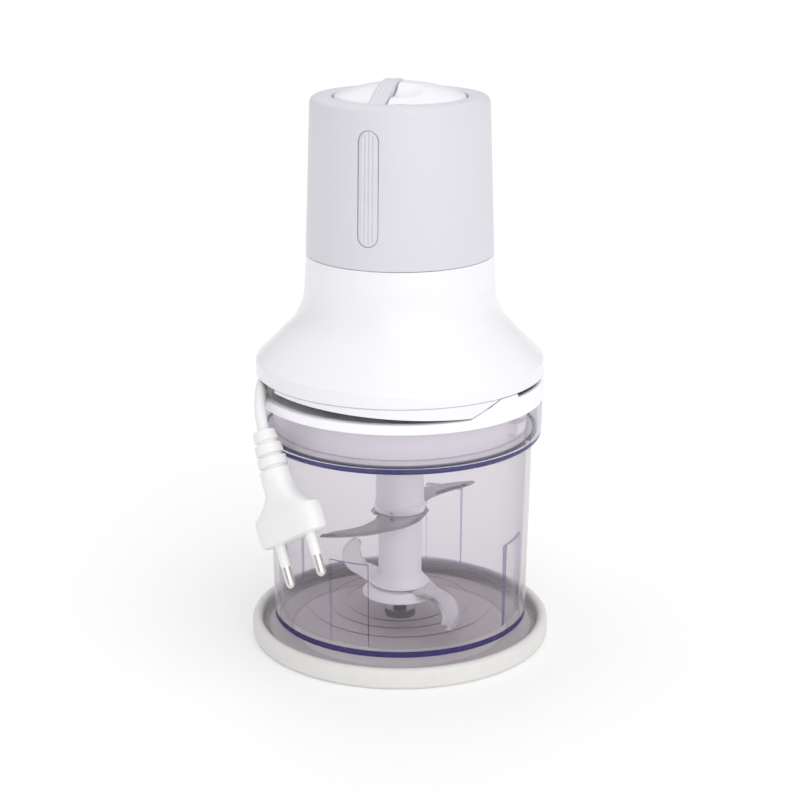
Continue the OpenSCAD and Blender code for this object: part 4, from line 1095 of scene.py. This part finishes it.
class CHOPPER_OT_housing(bpy.types.Operator):
    """Flared housing and the slanting band under its seam"""
    bl_idname = "chopper.housing"
    bl_label = "Housing and Band"

    def execute(self, context):
        housing = lathe("housing_shell", flare(0) + list(reversed(flare(2.2))), angle=40)
        hand_over(housing, "motor_unit", ["flared_housing"], "white_plastic")
        band_r = reach("skirt_band")
        bands = []
        for name, az, turn in (("band_front", -58, 106), ("band_back", 87, 175)):
            band = lathe(name, [
                (band_r - 4.3, 117), (band_r - 4.3, SEAM + 3.9, 0.3), (FLARE_R - 2.5, SEAM + 3.9, 0.3),
                (FLARE_R - 2.5, SEAM - 0.25, 0.1), (band_r, SEAM - 0.25, 0.5), (band_r, 117)],
                az=az, turn=turn)
            cut(band, Vector((0, 0, BAND_CUT)) * MM, Vector((-BAND_SLOPE, 0, -1)))
            bands.append(cut(band, Vector((0, 0, BAND_FOOT)) * MM, Vector((0, 0, -1))))
        cut(bands[0], *ramp(0.4), clear_outer=False)
        band = join(*bands)
        band.name = band.data.name = "lower_band"
        modify(band, "BEVEL", width=0.35 * MM, segments=2, limit_method="ANGLE", angle_limit=math.radians(50))
        hand_over(band, "motor_unit", ["skirt_band"], "white_plastic")
        return {"FINISHED"}


def bar_x(y):
    """Centre line of the bar over the press pad."""
    return -4.2 + 0.148 * y + 0.000057 * y ** 3


def dome(x, y):
    """Height of the press pad's dome."""
    return CAP_TOP + 2.3 + DOME_H - DOME_RHO + math.sqrt(DOME_RHO ** 2 - x * x - y * y)


def soft_min(a, b, width):
    """The lower of two values, blended over a width."""
    h = max(width - abs(a - b), 0) / width
    return min(a, b) - h * h * width / 4


def quarter(t):
    """Height of a quarter circle at t, from 0 at its foot to 1."""
    t = min(1, max(0, t))
    return math.sqrt(t * (2 - t))


def soft_step(t):
    """Smooth rise from 0 to 1."""
    t = min(1, max(0, t))
    return t * t * (3 - 2 * t)


class CHOPPER_OT_cap(bpy.types.Operator):
    """Upper cap with the bar that parts the two buttons"""
    bl_idname = "chopper.cap"
    bl_label = "Cap and Bar"

    def execute(self, context):
        top = CAP_TOP + 2.3
        cap = lathe("cap_shell", [
            (NECK_R, NECK + 0.08, 0.25), (CAP_R + 0.06, top, 3.0), (POCKET_R, top, 0.6),
            (POCKET_R, CAP_TOP - 3), (CAP_R - 2.2, CAP_TOP - 3), (NECK_R - 2.2, NECK + 0.08, 0.25)], angle=40)
        cutter = stadium("inlay_bed", 0.15, 12)
        modify(cap, "BOOLEAN", object=cutter, operation="DIFFERENCE", solver="EXACT")
        remove(cutter)
        smooth(cap, 40)
        hand_over(cap, "motor_unit", ["upper_cap"], "grey_plastic")

        half = BAR_W / 2
        end = POCKET_R + 1.6

        def spot(u, v):
            y = -end + 2 * end * v
            side = 2 * u - 1
            x = bar_x(y) + side * half
            crown = dome(bar_x(y), min(abs(y), POCKET_R)) + 0.9 if abs(y) < POCKET_R else top
            crown = top + (crown - top) * soft_step((end - abs(y)) / 4.5)
            groove = 0.22 * soft_step((0.75 - abs(side)) / 0.15) * abs(math.cos(2 * math.pi * side))
            return x, y, crown + 0.02 - groove - 0.6 * (1 - quarter((1 - abs(side)) * half / 0.7))

        bar = skirted(grid("cap_bar", 49, 72, spot), 6)
        hand_over(bar, "motor_unit", [], "grey_plastic")
        return {"FINISHED"}


def smooth(piece, angle):
    """Smooths a piece by angle."""
    activate(piece)
    bpy.ops.object.shade_smooth_by_angle(angle=math.radians(angle))


def cap_radius(z):
    """Radius of the cap's wall at a height."""
    return NECK_R - CAP_TAPER * (z - NECK) / CAP_H


def stadium(name, grow, thick):
    """Upright stadium-shaped block over the grip strip's place, its inner face curved like the cap."""
    half = INLAY_HALF + grow

    def spot(u, v):
        y = (INLAY_STRAIGHT + half) * (2 * v - 1)
        over = max(0, abs(y) - INLAY_STRAIGHT)
        x = math.sqrt(max(0, half ** 2 - over ** 2)) * (2 * u - 1)
        z = INLAY_MIDDLE + y
        r = cap_radius(z) - 0.9
        az = INLAY_AZ + math.degrees(x / r)
        return facing(az, r, z) / MM

    def eased(u, v):
        # rows crowd towards the round ends
        return spot(u, crowded(v))

    piece = grid(name, 14, 48, eased)
    bpy.ops.object.mode_set(mode="EDIT")
    weld(1e-6)
    bpy.ops.mesh.select_all(action="SELECT")
    out = facing(INLAY_AZ, thick, 0)
    bpy.ops.mesh.extrude_region_move(TRANSFORM_OT_translate={"value": out})
    return settle(piece)


class CHOPPER_OT_inlay(bpy.types.Operator):
    """Soft grip strip let into the cap"""
    bl_idname = "chopper.inlay"
    bl_label = "Grip Strip"

    def execute(self, context):
        sizes = context.scene.chopper_sizes
        half = INLAY_HALF
        rib = sizes.rib_height / MM
        pitch = 2 * (half - 0.9) / sizes.ribs

        def spot(u, v):
            v = crowded(v)
            y = (INLAY_STRAIGHT + half) * (2 * v - 1)
            over = max(0, abs(y) - INLAY_STRAIGHT)
            width = math.sqrt(max(0, half ** 2 - over ** 2))
            side = math.sin(math.pi * (u - 0.5))
            x = width * side
            z = INLAY_MIDDLE + y
            rim = half - math.hypot(x, over)
            lift = -0.75 + 0.75 * quarter(rim / 0.75)
            inside = soft_step((rim - 0.9) / 0.5)
            wave = abs(math.sin(math.pi * (x + half - 0.9) / pitch))
            height = lift + inside * (rib * wave - 0.25)
            r = cap_radius(z) + 0.1 + height
            return facing(INLAY_AZ + math.degrees(x / NECK_R), r, z) / MM

        piece = grid("grip_strip", 96, 110, spot)
        bpy.ops.object.mode_set(mode="EDIT")
        weld(1e-6)
        close_rim(facing(INLAY_AZ, -0.4, 0))
        settle(piece, 45)
        hand_over(piece, "motor_unit", ["grip_inlay"], "inlay_grey")
        return {"FINISHED"}


class CHOPPER_OT_buttons(bpy.types.Operator):
    """Two glossy buttons that make up the round press pad"""
    bl_idname = "chopper.buttons"
    bl_label = "Buttons"

    def execute(self, context):
        sizes = context.scene.chopper_sizes
        rounding = sizes.button_edge / MM
        dish_r = sizes.button_dish / MM
        gap = BAR_W / 2 + 0.4
        dish_at = Vector((0, -19, CAP_TOP + 36))

        for side, name, body, node in ((-1, "button_left", "button_1", "press_button_1"),
                                       (1, "button_right", "button_2", "press_button_2")):
            ends = [self.corner(side, gap, end) for end in (-1, 1)]

            def spot(u, v, side=side, ends=ends):
                v = crowded(v)
                y = ends[0] + (ends[1] - ends[0]) * v
                near = bar_x(y) + side * gap
                far = side * math.sqrt(max(0, PAD_R ** 2 - y * y))
                far = far if side * (far - near) > 0 else near
                u = crowded(u)
                x = near + (far - near) * u
                rim = min(abs(x - near) * 0.985, PAD_R - math.hypot(x, y))
                z = dome(x, y)
                flat = max(0, dish_r ** 2 - (x - dish_at.x) ** 2 - (y - dish_at.y) ** 2)
                if flat > 0:
                    z = soft_min(z, dish_at.z - math.sqrt(flat), 0.25)
                return x, y, z - rounding * (1 - quarter(rim / rounding))

            piece = skirted(grid(name, 90, 120, spot), 3.5, 40)
            hand_over(piece, body, [node], "white_plastic")
        return {"FINISHED"}

    def corner(self, side, gap, end):
        """Distance along the bar at which a button's straight edge meets the round one."""
        low_y, high_y = 0.0, PAD_R
        for _ in range(40):
            y = (low_y + high_y) / 2
            if math.hypot(bar_x(end * y) + side * gap, y) < PAD_R:
                low_y = y
            else:
                high_y = y
        return end * low_y


class CHOPPER_OT_works(bpy.types.Operator):
    """Finishes for the CAD parts that stay: drive, motor, switches, seal and fittings"""
    bl_idname = "chopper.works"
    bl_label = "Inner Works"

    def execute(self, context):
        slots = {row["node"]: row["material_slot"] for row in frame["record"]["subparts"]}
        for name, node in frame["nodes"].items():
            if node.hide_render:
                continue
            material = finish_for(slots[name])
            if not node.material_slots:
                node.data.materials.append(material)
            for place_in in node.material_slots:
                place_in.material = material
        return {"FINISHED"}


# ---------- add-on ----------

OPERATORS = (
    CHOPPER_OT_stage, CHOPPER_OT_lead, CHOPPER_OT_ring, CHOPPER_OT_bowl, CHOPPER_OT_blades, CHOPPER_OT_lid,
    CHOPPER_OT_housing, CHOPPER_OT_cap, CHOPPER_OT_inlay, CHOPPER_OT_buttons, CHOPPER_OT_works,
)


class CHOPPER_PT_panel(bpy.types.Panel):
    """Sizes, colours and pieces of the mini food processor"""
    bl_idname = "CHOPPER_PT_panel"
    bl_label = "Mini Food Processor"
    bl_space_type = "VIEW_3D"
    bl_region_type = "UI"
    bl_category = "Chopper"

    def draw(self, context):
        column = self.layout.column()
        for group in (context.scene.chopper_sizes, context.scene.chopper_colours):
            for key in group.__annotations__:
                column.prop(group, key)
        for operator in OPERATORS:
            column.operator(operator.bl_idname)


CLASSES = (ChopperSizes, ChopperColours, *OPERATORS, CHOPPER_PT_panel)


def register():
    for item in CLASSES:
        bpy.utils.register_class(item)
    bpy.types.Scene.chopper_sizes = PointerProperty(type=ChopperSizes)
    bpy.types.Scene.chopper_colours = PointerProperty(type=ChopperColours)


def unregister():
    del bpy.types.Scene.chopper_colours
    del bpy.types.Scene.chopper_sizes
    for item in reversed(CLASSES):
        bpy.utils.unregister_class(item)


def main():
    """Makes the stage and every piece."""
    register()
    for operator in OPERATORS:
        group, _, name = operator.bl_idname.partition(".")
        getattr(getattr(bpy.ops, group), name)()


if __name__ == "__main__":
    main()
